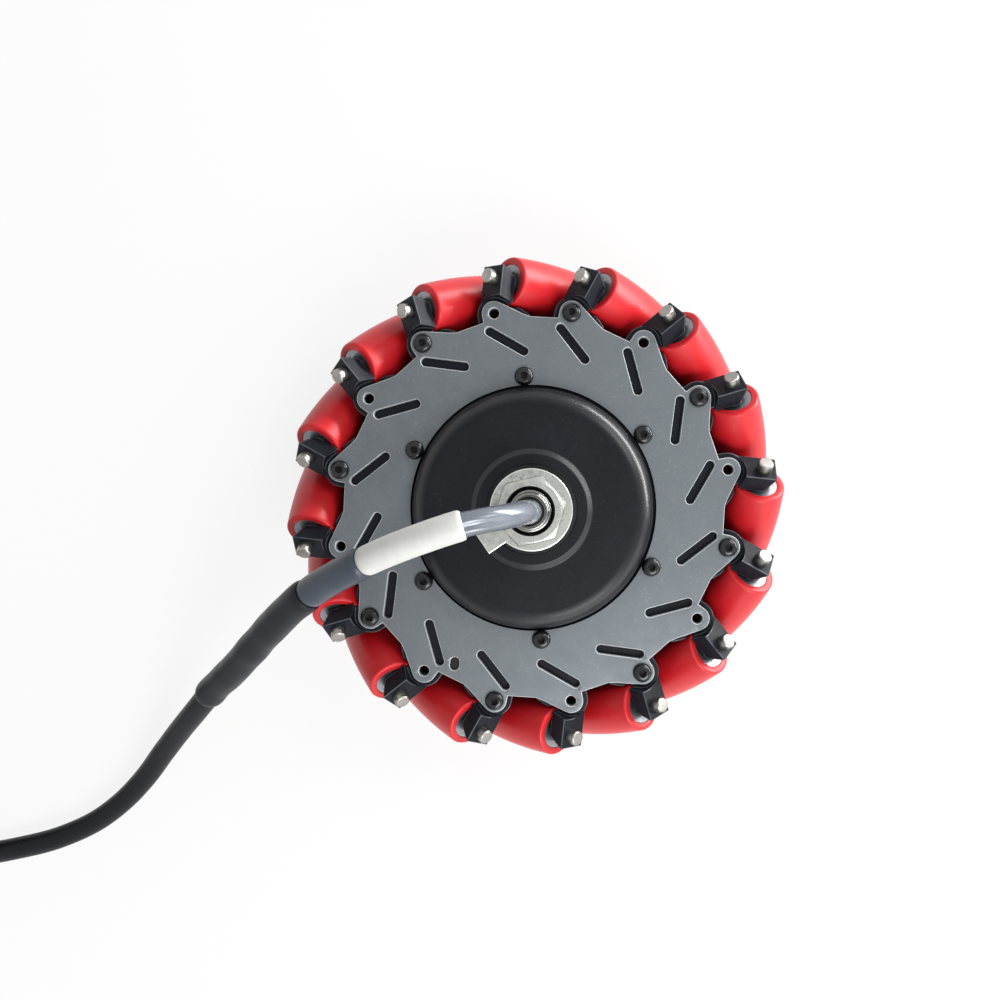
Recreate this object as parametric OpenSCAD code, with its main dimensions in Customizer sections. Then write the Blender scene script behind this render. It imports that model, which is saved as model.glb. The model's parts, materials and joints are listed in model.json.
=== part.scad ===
// Mecanum wheel with a hub motor inside it: 16 barrel rollers at 45 degrees between two lug rings,
// two bright plates screwed over them, and a drum motor on a hollow axle that the cable runs out of.
// The wheel lies on the flat back of the motor with its axle up. Z = 0 is that flat back.

/* [Wheel] */
// Diameter over the rollers
wheel_d = 203; // [195:1:215]
// Number of rollers
roller_count = 16; // [16:2:16]
// Turn of the first roller from +Y, clockwise seen from the axle end
first_roller_angle = 6.25; // [0:0.25:22]

/* [Rollers] */
// Largest diameter of a roller, at its middle
roller_d = 24.2; // [23:0.1:24.6]
// Length of a roller
roller_len = 56.6; // [52:0.2:58]
// Thickness of the red tread at the roller's end
tread_t = 2.9; // [2.2:0.1:3.4]
// Corner radius of the tread at its end
tread_corner = 1.2; // [0.6:0.1:1.8]
// How far the core stands back from the tread's end
core_recess = 0.4; // [0.2:0.1:1]
// Bore through the core between its bearings
core_bore_d = 9; // [7:0.2:10]
// Outer diameter of a roller bearing
roller_bearing_d = 12; // [11.6:0.1:12.6]
// Width of a roller bearing
roller_bearing_w = 4; // [3:0.2:6]
// Gap between a roller's end and its lug
roller_end_gap = 0.6; // [0.4:0.1:1]
// Diameter of a roller axle
pin_d = 6; // [5:0.1:6.4]
// How far a roller axle stands out of its lug
pin_proud = 3.9; // [2:0.1:5]
// Radial clearance of a roller bearing on its axle
pin_fit = 0.03; // [0.02:0.01:0.08]

/* [Lugs] */
// Thickness of a lug along the roller axle
lug_t = 7.1; // [6:0.1:8]
// Lug width from the axle to its square outer end
lug_outer_w = 5.2; // [4.6:0.1:6]
// Lug width from the axle to its inner edge
lug_inner_w = 6.5; // [5.5:0.1:7]
// Lug height above the axle
lug_head = 4.9; // [4.4:0.1:5.4]
// Depth of the chamfer across the lug's corner, along the height
lug_chamfer = 3.8; // [2:0.1:4]
// Thickness of the lug ring behind the plate
ring_t = 8; // [6:0.5:9]
// Width of the ledge round each tab of the plate
ledge_w = 2; // [1.2:0.1:2.6]
// Clearance between the lugs and the rollers that pass them
roller_clearance = 1.2; // [0.8:0.1:1.6]

/* [Plates] */
// Thickness of a plate
plate_t = 2.5; // [1.5:0.1:3]
// Distance from the roller axes down to the tab holes
tab_drop = 10.2; // [9.8:0.1:11]
// Distance from the roller axes down to the plate's edge between the tabs
edge_drop = 12.9; // [12.4:0.1:14]
// Radius of a tab's round end
tab_r = 4.9; // [4.4:0.1:5.2]
// Diameter of a tab hole
tab_hole_d = 4.2; // [3.6:0.1:4.6]
// Width of a slot
slot_w = 3.6; // [2.6:0.1:4.4]
// Distance from the plate's edge to a slot's outer end
slot_inset = 3.9; // [3.4:0.1:5]
// How far a slot runs inwards
slot_reach = 9.8; // [7:0.2:11]
// Gap between the plate and the motor cover in its middle
cover_gap = 1.4; // [0.8:0.1:2]
// Width of the clocking slot
clock_w = 3.7; // [3:0.1:4.2]

/* [Motor] */
// Diameter of the cover that stands through the plate
cover_d = 95.2; // [90:0.4:98]
// How far the front cover stands out of the plate's back face
front_cover_h = 13.5; // [12:0.5:15]
// How far the rear cover stands out of the plate's back face
rear_cover_h = 10.5; // [9:0.5:12]
// Shoulder radius of the covers
shoulder_r = 7.5; // [5:0.5:8]
// Wall of the covers
cover_wall = 4; // [3:0.5:5]
// Thickness of the covers' flanges
flange_t = 5; // [4:0.5:6]
// Diameter of the raised boss round the axle
boss_d = 47.2; // [46:0.4:50]
// Height of the raised boss
boss_h = 1.5; // [1:0.1:2]
// Number of screws that hold a plate to the motor
motor_screw_count = 6; // [6:1:8]
// Distance from the cover's side to the screw circle
screw_margin = 5.2; // [4.8:0.1:6]
// Distance from the screw circle to the drum's outside
drum_margin = 7.2; // [6.5:0.1:8]
// Number of magnets
magnet_count = 28; // [20:2:32]
// Thickness of a magnet
magnet_t = 3; // [2:0.2:3.2]
// Air gap between the magnets and the stator
air_gap = 0.7; // [0.5:0.1:1]
// Number of stator teeth
tooth_count = 24; // [18:3:24]
// Width of a stator tooth
tooth_w = 4.4; // [3.8:0.1:4.8]
// Length of the stator's stack of laminations
stack_len = 24; // [18:1:26]

/* [Axle] */
// Thread diameter of the axle's end
axle_d = 16; // [15:0.5:17]
// Axle diameter through the front bearing and the stator
journal_d = 20; // [19:0.5:21]
// Rear journal diameter
rear_journal_d = 15; // [13:0.5:16]
// Bore of the axle for the cable
axle_bore_d = 10; // [9.6:0.1:10.6]
// Depth of the flat on the axle's end
flat_depth = 1; // [0.6:0.1:1.4]
// Nut width across flats
nut_af = 24; // [23:0.5:25]
// Nut height
nut_h = 13; // [10:0.5:14]
// Length of axle that stands out of the nut
axle_end_len = 4.5; // [3:0.5:8]
// Diameter of the tongue washer
washer_d = 32; // [30:0.5:34]
// Thickness of the tongue washer
washer_t = 2.5; // [2:0.1:3]
// Width of the washer's tongue
tongue_w = 10; // [8:0.5:12]
// Reach of the washer's tongue from the axle's centre
tongue_reach = 23; // [20:0.5:24]

/* [Cable] */
// Diameter of the lead inside the axle
lead_d = 8.8; // [8:0.1:9]
// Diameter of the outer cable
cable_d = 10.2; // [9.6:0.1:10.6]
// Diameter of the white sleeve
sleeve_d = 11; // [10.8:0.1:12]
// Diameter of the grey shrink tube
shrink_d = 11.9; // [11.4:0.1:12.4]
// Diameter of the black shrink tube
outer_shrink_d = 12.8; // [12.4:0.1:13.4]
// Diameter of the coil at the middle of its turns
coil_d = 104; // [102:1:120]

/* [Hidden] */
$fn = 64;

// Small amount by which a cut runs past the face it opens.
past = 1;
// Clearance of parts that are pressed or bolted together.
seat_gap = 0.05;
// Clearance of the wide round seats.
wide_seat_gap = 0.15;

// Rollers
wheel_r = wheel_d / 2;
roller_tilt = 45;
axis_r = wheel_r - roller_d / 2;
pitch_angle = 360 / roller_count;
half_len = roller_len / 2;
pin_r = pin_d / 2;
barrel_steps = 20;
end_r = barrel_r(half_len);
core_r = end_r - tread_t;

// Lugs, measured along a roller axle from the roller's middle
lug_face_s = half_len + roller_end_gap;
lug_mid_s = lug_face_s + lug_t / 2;
lug_back_s = lug_face_s + lug_t;
pin_half_len = lug_back_s + pin_proud;
lug_root = 19;
lug_mid_u = lug_mid_s * sin(roller_tilt);

// Plates, measured from the wheel's middle plane
plate_z = lug_mid_s * cos(roller_tilt) - 0.45;
plate_top_z = plate_z + plate_t;
edge_r = axis_r - edge_drop;
tab_pos_r = axis_r - tab_drop;
tab_lead = asin((lug_mid_u + 0.85) / tab_pos_r);
tab_left_angle = -3.7;
tab_right_angle = 10.3;
tab_knee_angle = 8.1;
tab_knee_rise = 1.3;
tab_steps = 8;
slot_outer_r = edge_r - slot_inset;
slot_inner_r = slot_outer_r - slot_reach;
slot_outer_angle = -2.5;
slot_inner_angle = 8;
clock_r = edge_r - 6.1;
clock_angle = 206.7;
clock_len = 1.7;
ring_r = edge_r - 0.5;
// How far the seats on the lugs stand above the ring between them
seat_rise = 0.1;

// Screws: M4 button heads
screw_r = 2;
tapped_r = 1.65;
head_r = 3.8;
head_h = 2.2;
socket_af = 2.5;
tab_screw_len = plate_t + ring_t - 0.5;
motor_screw_len = plate_t + flange_t + 8;

// Motor
cover_r = cover_d / 2;
plate_hole_r = cover_r + cover_gap;
screw_circle_r = cover_r + screw_margin;
screw_lead = 7.5;
drum_r = screw_circle_r + drum_margin;
drum_inner_r = screw_circle_r - 3.8;
drum_half = plate_z - flange_t;
magnet_outer_r = drum_inner_r - wide_seat_gap;
magnet_inner_r = magnet_outer_r - magnet_t;
magnet_len = 2 * drum_half - 7;
stator_r = magnet_inner_r - air_gap;
front_face_z = plate_z + front_cover_h;
rear_face_z = plate_z + rear_cover_h;
boss_top_z = front_face_z + boss_h;
mid_z = rear_face_z;

// Bearings and axle
axle_r = axle_d / 2;
journal_r = journal_d / 2;
rear_journal_r = rear_journal_d / 2;
front_bearing_r = 21;
front_bearing_w = 12;
front_bearing_top = front_face_z - 3;
rear_bearing_r = 16;
rear_bearing_w = 9;
rear_bearing_low = -rear_face_z + cover_wall + 0.2;
seal_r = 17.5;
seal_t = 3.5;
shoulder_z = boss_top_z + 1;
washer_top_z = shoulder_z + washer_t;
nut_top_z = washer_top_z + nut_h;
axle_top_z = nut_top_z + axle_end_len;
axle_bottom_z = rear_bearing_low + 0.5;
bore_floor_z = -5;
// The plain end past the thread clears the flat
axle_end_r = axle_r - flat_depth - 0.1;
running_gap = 0.04;

// Stator
core_inner_r = 24;
yoke_r = 30;
tooth_tip_r = stator_r - 2.3;
slot_mouth = 1.6;
coil_overhang = 3.5;
coil_gap = 0.2;

// Cable
cable_sides = 10;
lead_r = lead_d / 2;
cable_r = cable_d / 2;
sleeve_gap = 0.15;
coil_r = coil_d / 2;
coil_centre = [-312, -115];
coil_rest = 1.4;
coil_turns = 2;
coil_top = coil_rest + coil_turns * cable_d;
tail_turn = 50;
tail_run = 4;
connector_r = 8;
connector_len = 46;

// The cable's way from inside the axle to the coil, in mm from the wheel's foot.
cable_route = [
    [0, 0, 82], [0, 0, 93], [-2, 0, 101], [-7, -1, 108], [-14, -2, 113], [-23, -4, 115],
    [-35, -8, 114], [-48, -13, 111], [-61, -19, 106], [-74, -26, 98], [-86, -34, 90],
    [-98, -44, 80], [-110, -55, 69], [-122, -66, 58], [-134, -76, 48], [-146, -88, 38],
    [-158, -100, 28], [-170, -113, 19], [-182, -127, 12], [-195, -140, 8], [-210, -151, 6],
    [-228, -159, 6], [-247, -164, 6], [-264, -167, 6], [-279, -167, 6]
];
// The route's points at which the pieces on it start and end.
sleeve_from = 5;
sleeve_to = 8;
shrink_to = 11;
outer_shrink_to = 14;

// Sideways place u on the wheel of the point on a roller's axis that touches the ground at station s.
function contact_u(s, u = 0, turns = 8) = turns == 0 ? u :
    let (th = atan(u / axis_r), rho = wheel_r - axis_r / cos(th))
    contact_u(s, (s - rho * sin(th) * sin(roller_tilt)) * sin(roller_tilt), turns - 1);

// Radius of a roller at station s, so that all the rollers together roll as one true circle.
function barrel_r(s) =
    let (th = atan(contact_u(s) / axis_r), rho = wheel_r - axis_r / cos(th))
    rho * sqrt(1 - pow(sin(th) * sin(roller_tilt), 2));

function polar(r, clockwise) = [r * sin(clockwise), r * cos(clockwise)];

// Where a line from p touches a circle round c, on the left (side = 1) or the right (side = -1).
function tangent_point(p, c, r, side) =
    let (v = c - p, turn = atan2(v[1], v[0]) + side * asin(r / norm(v)), reach = sqrt(v * v - r * r))
    p + reach * [cos(turn), sin(turn)];

// Places its children at an angle clockwise from +Y, seen from the axle end.
module turn_to(angle) {
    rotate([0, 0, -angle]) children();
}

// Moves from the wheel's middle plane to the frame that the wheel stands in.
module on_wheel() {
    translate([0, 0, mid_z]) children();
}

// Turns a front piece into its rear twin, about the first roller's radius.
module at_rear() {
    turn_to(first_roller_angle) rotate([0, 180, 0]) turn_to(-first_roller_angle) children();
}

function roller_angle(k) = first_roller_angle + k * pitch_angle;
function tab_angle(k) = roller_angle(k) - tab_lead;

// A roller's own frame: Z runs along its axle from the front lug to the rear lug.
module at_roller(k) {
    turn_to(roller_angle(k)) translate([0, axis_r, 0]) rotate([0, 180 - roller_tilt, 0]) children();
}

module ring(r_out, r_in, h) {
    difference() {
        cylinder(r = r_out, h = h);
        translate([0, 0, -past]) cylinder(r = r_in, h = h + 2 * past);
    }
}

// ---- rollers

module roller_tread(k) {
    outline = [for (i = [0 : barrel_steps])
        let (s = (half_len - tread_corner) * (2 * i / barrel_steps - 1)) [barrel_r(s), s]];
    corner_r = end_r - tread_corner * 0.9;
    corner = tread_corner * 0.3;
    color("crimson") on_wheel() at_roller(k) rotate_extrude() polygon(concat(
        [[core_r + seat_gap, -half_len], [corner_r, -half_len], [end_r - corner, corner - half_len]],
        outline,
        [[end_r - corner, half_len - corner], [corner_r, half_len], [core_r + seat_gap, half_len]]
    ));
}

module roller_core() {
    core_half = half_len - core_recess;
    seat_r = roller_bearing_d / 2 + seat_gap;
    difference() {
        translate([0, 0, -core_half]) cylinder(r = core_r, h = 2 * core_half);
        translate([0, 0, -core_half - past]) cylinder(d = core_bore_d, h = 2 * (core_half + past));
        for (side = [-1, 1]) {
            translate([0, 0, side * core_half])
                cylinder(r = seat_r, h = 2 * (roller_bearing_w + 2 * seat_gap), center = true);
        }
    }
}

module roller_bearing() {
    race_r = (pin_r + roller_bearing_d / 2) / 2;
    dish = 0.25;
    difference() {
        cylinder(d = roller_bearing_d, h = roller_bearing_w, center = true);
        cylinder(r = pin_r + pin_fit, h = roller_bearing_w + past, center = true);
        for (side = [-1, 1]) {
            translate([0, 0, side * (roller_bearing_w / 2) - dish]) ring(race_r + 0.9, race_r - 0.9, 2 * dish);
        }
    }
}

// The hard core of a roller with a bearing in each end.
module roller_inside(k) {
    bearing_s = half_len - core_recess - roller_bearing_w / 2 - seat_gap;
    color("silver") on_wheel() at_roller(k) {
        roller_core();
        for (side = [-1, 1]) {
            translate([0, 0, side * bearing_s]) roller_bearing();
        }
    }
}

module roller_axles() {
    chamfer = 0.5;
    color("gainsboro") on_wheel() for (k = [0 : roller_count - 1]) {
        at_roller(k) rotate_extrude() polygon([
            [0, -pin_half_len], [pin_r - chamfer, -pin_half_len], [pin_r, chamfer - pin_half_len],
            [pin_r, pin_half_len - chamfer], [pin_r - chamfer, pin_half_len], [0, pin_half_len]
        ]);
    }
}

// ---- plates

// The edge of one tab about +Y, from its root on the left over its round end to its root on the right.
function tab_line(grow = 0) =
    let (
        centre = [0, tab_pos_r],
        r = tab_r + grow,
        left = polar(edge_r, tab_left_angle) - [grow, 0],
        knee = polar(edge_r + tab_knee_rise + grow, tab_knee_angle),
        right = polar(edge_r + grow / 2, tab_right_angle),
        from = tangent_point(left, centre, r, 1) - centre,
        to = tangent_point(knee, centre, r, -1) - centre,
        from_angle = atan2(from[0], from[1]),
        to_angle = atan2(to[0], to[1])
    )
    concat(
        [left],
        [for (i = [0 : tab_steps]) centre + polar(r, from_angle + (to_angle - from_angle) * i / tab_steps)],
        [knee, right]
    );

function turned(p, angle) = [p[0] * cos(angle) + p[1] * sin(angle), p[1] * cos(angle) - p[0] * sin(angle)];

// The plate's outside: a straight-edged rim with its tabs.
module plate_outline(grow = 0) {
    polygon([for (k = [0 : roller_count - 1], p = tab_line(grow)) turned(p, tab_angle(k))]);
}

// One tab, with enough of the rim behind it to stand on.
module tab_shape(grow = 0) {
    root_r = ring_r - 3;
    polygon(concat(tab_line(grow), [polar(root_r, tab_right_angle - 1), polar(root_r, tab_left_angle - 1)]));
}

module slot_shape(from, to, w) {
    along = to - from;
    translate(from) circle(d = w);
    translate(to) circle(d = w);
    translate(from) rotate([0, 0, atan2(along[1], along[0])])
        translate([0, -w / 2]) square([norm(along), w]);
}

module clock_slot(w) {
    turn_to(clock_angle) translate([0, clock_r]) rotate([0, 0, -70]) slot_shape([-clock_len / 2, 0], [clock_len / 2, 0], w);
}

module plate() {
    translate([0, 0, plate_z]) linear_extrude(height = plate_t) difference() {
        plate_outline();
        circle(r = plate_hole_r);
        for (k = [0 : roller_count - 1]) {
            turn_to(tab_angle(k)) {
                translate([0, tab_pos_r]) circle(d = tab_hole_d);
                slot_shape(polar(slot_outer_r, slot_outer_angle), polar(slot_inner_r, slot_inner_angle), slot_w);
            }
        }
        for (k = [0 : motor_screw_count - 1]) {
            turn_to(motor_screw_angle(k)) translate([0, screw_circle_r]) circle(d = tab_hole_d);
        }
        clock_slot(clock_w);
    }
}

function motor_screw_angle(k) = tab_angle(0) + screw_lead + k * 360 / motor_screw_count;

module front_plate() {
    color("lightslategray") on_wheel() plate();
}

module rear_plate() {
    color("lightslategray") on_wheel() at_rear() plate();
}

// ---- lug rings

// A roller with clearance round it: a cone from its end to a little past its middle.
module roller_space(k) {
    space_len = half_len + 4;
    at_roller(k) translate([0, 0, -lug_face_s])
        cylinder(r1 = end_r + roller_clearance, r2 = roller_d / 2 + roller_clearance + 0.3, h = space_len);
}

// The square bar of one lug in its roller's frame, with the chamfer across its outer corner.
module lug_bar() {
    corner = [-lug_outer_w, lug_head, -lug_back_s];
    low = [-lug_outer_w, lug_head - lug_chamfer, -lug_face_s];
    inner = [-lug_outer_w + 1.2 * lug_chamfer, lug_head, -lug_face_s];
    n = cross(low - corner, inner - corner);
    difference() {
        translate([-lug_outer_w, -lug_root, -lug_back_s])
            cube([lug_outer_w + lug_inner_w, lug_root + lug_head, lug_t]);
        translate(corner) rotate([0, acos(n[2] / norm(n)), atan2(n[1], n[0])])
            translate([-2 * lug_t, -2 * lug_t, 0]) cube([4 * lug_t, 4 * lug_t, 2 * lug_t]);
    }
}

// open_hole_r is the radius of the holes under the tabs that carry no screw.
module lug_ring(open_hole_r) {
    ring_low_z = plate_z - ring_t;
    difference() {
        union() {
            translate([0, 0, ring_low_z]) ring(ring_r, drum_r + wide_seat_gap, ring_t - seat_rise);
            for (k = [0 : roller_count - 1]) {
                turn_to(tab_angle(k)) translate([0, 0, ring_low_z])
                    linear_extrude(height = ring_t) tab_shape(ledge_w);
                difference() {
                    at_roller(k) lug_bar();
                    translate([0, 0, plate_z]) linear_extrude(height = 4 * plate_t) {
                        circle(r = edge_r);
                        turn_to(tab_angle(k)) tab_shape(ledge_w);
                    }
                }
            }
        }
        for (k = [0 : roller_count - 1]) {
            roller_space(k);
            at_roller(k) translate([0, 0, -lug_back_s - past])
                cylinder(r = pin_r + seat_gap, h = lug_t + 2 * past);
            turn_to(tab_angle(k)) translate([0, tab_pos_r, ring_low_z - past])
                cylinder(r = k % 2 == 0 ? open_hole_r : tab_hole_d / 2, h = ring_t + 2 * past);
        }
        translate([0, 0, plate_z - ring_t / 2]) linear_extrude(height = ring_t) clock_slot(clock_w - 0.7);
    }
}

module front_lug_ring() {
    color("darkslategray") on_wheel() lug_ring(tapped_r);
}

module rear_lug_ring() {
    color("darkslategray") on_wheel() at_rear() lug_ring(tab_hole_d / 2);
}

// ---- screws and dowels

// A button-head screw whose head sits on z = 0.
module button_screw(length) {
    difference() {
        rotate_extrude() polygon([
            [0, -length], [screw_r, -length], [screw_r, 0], [head_r, 0], [head_r, 0.35],
            [head_r - 0.45, 1.1], [head_r - 1.1, 1.75], [head_r - 1.9, head_h], [0, head_h]
        ]);
        translate([0, 0, head_h - 1.3]) cylinder(r = socket_af / sqrt(3), h = 2, $fn = 6);
    }
}

module tab_screw_set() {
    for (k = [1 : 2 : roller_count - 1]) {
        turn_to(tab_angle(k)) translate([0, tab_pos_r, plate_top_z]) button_screw(tab_screw_len);
    }
}

module motor_screw_set() {
    for (k = [0 : motor_screw_count - 1]) {
        turn_to(motor_screw_angle(k)) translate([0, screw_circle_r, plate_top_z])
            button_screw(motor_screw_len);
    }
}

module tab_screws() {
    color("dimgray") on_wheel() {
        tab_screw_set();
        at_rear() tab_screw_set();
    }
}

module motor_screws() {
    color("dimgray") on_wheel() {
        motor_screw_set();
        at_rear() motor_screw_set();
    }
}

module clock_dowel() {
    translate([0, 0, plate_z - ring_t / 2]) linear_extrude(height = ring_t / 2 + plate_t / 2)
        clock_slot(clock_w - 0.8);
}

module clock_dowels() {
    color("gainsboro") on_wheel() {
        clock_dowel();
        at_rear() clock_dowel();
    }
}

// ---- motor

module motor_screw_holes(z_from, z_to, r) {
    for (k = [0 : motor_screw_count - 1]) {
        turn_to(motor_screw_angle(k)) translate([0, screw_circle_r, z_from]) cylinder(r = r, h = z_to - z_from);
    }
}

module motor_drum() {
    color("dimgray") on_wheel() difference() {
        translate([0, 0, -drum_half]) ring(drum_r, drum_inner_r, 2 * drum_half);
        motor_screw_holes(drum_half - 10, drum_half + past, screw_r + seat_gap);
        at_rear() motor_screw_holes(drum_half - 10, drum_half + past, screw_r + seat_gap);
    }
}

// Profile of a cover from its flange out to its face, without the hub in its middle.
function cover_shell(face_z, hub_r) = concat(
    [[hub_r, face_z]],
    [for (a = [0 : 10 : 90]) [cover_r - shoulder_r * (1 - sin(a)), face_z - shoulder_r * (1 - cos(a))]],
    [[cover_r, plate_z], [drum_r, plate_z], [drum_r, drum_half + seat_gap],
        [drum_inner_r - wide_seat_gap, drum_half + seat_gap], [drum_inner_r - wide_seat_gap, drum_half - 2.5],
        [cover_r - cover_wall, drum_half - 2.5], [cover_r - cover_wall, face_z - cover_wall - 3],
        [cover_r - cover_wall - 4, face_z - cover_wall], [hub_r, face_z - cover_wall]]
);

module front_cover() {
    hub_r = front_bearing_r + 4;
    boss_r = boss_d / 2;
    seat_low = front_bearing_top - front_bearing_w - 1;
    color("#23262b") on_wheel() difference() {
        rotate_extrude() polygon(cover_shell(front_face_z, hub_r - 0.5));
        motor_screw_holes(drum_half - past, plate_z + past, tab_hole_d / 2);
    }
    color("#23262b") on_wheel() rotate_extrude() polygon([
        [front_bearing_r + seat_gap, seat_low], [hub_r, seat_low], [hub_r, front_face_z],
        [boss_r, front_face_z], [boss_r, boss_top_z - 0.5], [boss_r - 0.5, boss_top_z],
        [seal_r + seat_gap, boss_top_z], [seal_r + seat_gap, front_bearing_top + seat_gap],
        [front_bearing_r + seat_gap, front_bearing_top + seat_gap]
    ]);
}

module rear_cover() {
    hub_r = rear_bearing_r + 4;
    color("#23262b") on_wheel() at_rear() difference() {
        rotate_extrude() polygon(cover_shell(rear_face_z, 0));
        motor_screw_holes(drum_half - past, plate_z + past, tab_hole_d / 2);
    }
    color("#23262b") on_wheel() translate([0, 0, cover_wall - 0.5 - rear_face_z])
        ring(hub_r, rear_bearing_r + seat_gap, rear_bearing_w + 1.5);
}

module magnets() {
    color("silver") on_wheel() translate([0, 0, -magnet_len / 2]) difference() {
        ring(magnet_outer_r, magnet_inner_r, magnet_len);
        for (k = [0 : magnet_count - 1]) {
            turn_to(k * 360 / magnet_count) translate([-0.4, magnet_inner_r - past, -past])
                cube([0.8, magnet_t + 2 * past, magnet_len + 2 * past]);
        }
    }
}

// A sealed ball bearing with a shallow dish between its races.
module ball_bearing(r_out, r_in, w) {
    race = (r_out - r_in) * 0.3;
    rotate_extrude() polygon([
        [r_in, 0.3], [r_in + 0.3, 0], [r_in + race, 0], [r_in + race, 0.4], [r_out - race, 0.4],
        [r_out - race, 0], [r_out - 0.3, 0], [r_out, 0.3], [r_out, w - 0.3], [r_out - 0.3, w],
        [r_out - race, w], [r_out - race, w - 0.4], [r_in + race, w - 0.4], [r_in + race, w],
        [r_in + 0.3, w], [r_in, w - 0.3]
    ]);
}

module motor_bearings() {
    color("silver") on_wheel() {
        translate([0, 0, front_bearing_top - front_bearing_w])
            ball_bearing(front_bearing_r, journal_r + running_gap, front_bearing_w);
        translate([0, 0, rear_bearing_low + seat_gap])
            ball_bearing(rear_bearing_r, rear_journal_r + running_gap, rear_bearing_w);
    }
}

module shaft_seal() {
    seal_low = boss_top_z - 0.4 - seal_t;
    color("#1c1c1e") on_wheel() translate([0, 0, seal_low]) rotate_extrude() polygon([
        [journal_r + running_gap, 0], [seal_r, 0], [seal_r, seal_t], [seal_r - 2, seal_t],
        [seal_r - 2.6, seal_t - 0.7], [journal_r + 1.5, seal_t - 0.7], [journal_r + running_gap, seal_t - 0.2]
    ]);
}

// ---- stator

module stator_core() {
    tooth_pitch = 360 / tooth_count;
    half_tooth = tooth_w / 2;
    slot_root = yoke_r * tan(tooth_pitch / 2) - half_tooth;
    slot_top = tooth_tip_r * tan(tooth_pitch / 2) - half_tooth;
    color("slategray") on_wheel() translate([0, 0, -stack_len / 2]) difference() {
        ring(stator_r, core_inner_r, stack_len);
        for (k = [0 : tooth_count - 1]) {
            turn_to((k + 0.5) * tooth_pitch) translate([0, 0, -past])
                linear_extrude(height = stack_len + 2 * past) polygon([
                    [-slot_root, yoke_r], [slot_root, yoke_r], [slot_top, tooth_tip_r],
                    [slot_mouth / 2, tooth_tip_r + 0.8], [slot_mouth / 2, stator_r + past],
                    [-slot_mouth / 2, stator_r + past], [-slot_mouth / 2, tooth_tip_r + 0.8],
                    [-slot_top, tooth_tip_r]
                ]);
        }
    }
}

// One coil of copper wire round each tooth.
module windings() {
    tooth_pitch = 360 / tooth_count;
    coil_from = yoke_r + 1.2;
    coil_to = tooth_tip_r - 0.8;
    coil_side = coil_from * tan(tooth_pitch / 2) - coil_gap;
    opening = tooth_w + 2 * coil_gap;
    color("peru") on_wheel() for (k = [0 : tooth_count - 1]) {
        turn_to(k * tooth_pitch) translate([0, coil_from, 0]) difference() {
            translate([-coil_side, 0, -stack_len / 2 - coil_overhang])
                cube([2 * coil_side, coil_to - coil_from, stack_len + 2 * coil_overhang]);
            translate([-opening / 2, -past, -stack_len / 2 - coil_gap])
                cube([opening, coil_to - coil_from + 2 * past, stack_len + 2 * coil_gap]);
        }
    }
}

module stator_carrier() {
    hub_r = journal_r + 5;
    rim_r = core_inner_r - wide_seat_gap;
    half_web = 4;
    color("silver") on_wheel() difference() {
        union() {
            translate([0, 0, -stack_len / 2]) ring(hub_r, journal_r + seat_gap, stack_len);
            translate([0, 0, -half_web]) ring(rim_r, journal_r + seat_gap, 2 * half_web);
            translate([0, 0, -stack_len / 2]) ring(rim_r, rim_r - 3, stack_len);
        }
        for (k = [0 : 5]) {
            turn_to(60 * k) translate([0, (hub_r + rim_r - 3) / 2, -half_web - past])
                cylinder(r = 2, h = 2 * (half_web + past));
        }
    }
}

// ---- axle

module axle() {
    cable_way_z = stack_len / 2 + 3;
    color("gainsboro") on_wheel() difference() {
        union() {
            rotate_extrude() polygon([
                [0, axle_bottom_z], [rear_journal_r - 0.6, axle_bottom_z], [rear_journal_r, axle_bottom_z + 0.6],
                [rear_journal_r, rear_bearing_low + rear_bearing_w + 0.3],
                [journal_r, rear_bearing_low + rear_bearing_w + 0.3],
                [journal_r, shoulder_z], [0, shoulder_z]
            ]);
            cylinder(r = axle_r, h = nut_top_z);
            cylinder(r = axle_end_r, h = axle_top_z);
        }
        translate([0, 0, bore_floor_z]) cylinder(d = axle_bore_d, h = axle_top_z - bore_floor_z + past);
        turn_to(148) translate([-axle_r, axle_r - flat_depth, shoulder_z + washer_t / 2])
            cube([2 * axle_r, axle_r, axle_top_z]);
        translate([0, 0, cable_way_z]) rotate([90, 0, 0]) cylinder(r = 2.6, h = journal_r + past);
    }
}

module axle_nut() {
    corner_r = nut_af / sqrt(3);
    bevel = 1.4;
    color("silver") on_wheel() translate([0, 0, washer_top_z]) intersection() {
        difference() {
            turn_to(17.3) rotate([0, 0, 90]) cylinder(r = corner_r, h = nut_h, $fn = 6);
            translate([0, 0, -past]) cylinder(r = axle_r + seat_gap, h = nut_h + 2 * past);
        }
        rotate_extrude() polygon([
            [0, 0], [nut_af / 2, 0], [corner_r, bevel * 0.6], [corner_r, nut_h - bevel * 0.6],
            [nut_af / 2, nut_h], [0, nut_h]
        ]);
    }
}

module tongue_washer() {
    color("silver") on_wheel() translate([0, 0, shoulder_z]) linear_extrude(height = washer_t) difference() {
        union() {
            circle(d = washer_d);
            turn_to(236) translate([-tongue_w / 2, 0]) square([tongue_w, tongue_reach]);
        }
        circle(r = axle_r + seat_gap);
    }
}

// ---- cable

function flank(p, i, side) = p[max(0, min(len(p) - 1, i + side))];
function tangent(p, i) = let (t = flank(p, i, 1) - flank(p, i, -1)) t / norm(t);

// The rings of corners of a tube of the given radii along the line p, between two of its points.
function tube_rings(p, radii, from, to) = [for (i = [from : to])
    let (t = tangent(p, i), a = cross(t, [0.35, -0.94, 0]), b = a / norm(a), c = cross(t, b))
    for (j = [0 : cable_sides - 1])
        let (turn = 360 * j / cable_sides) p[i] + radii[i] * (cos(turn) * b + sin(turn) * c)];

// The four-sided faces between one ring of corners and another.
function wall_faces(from, to) = [for (j = [0 : cable_sides - 1])
    let (k = (j + 1) % cable_sides) [from + j, from + k, to + k, to + j]];

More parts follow.
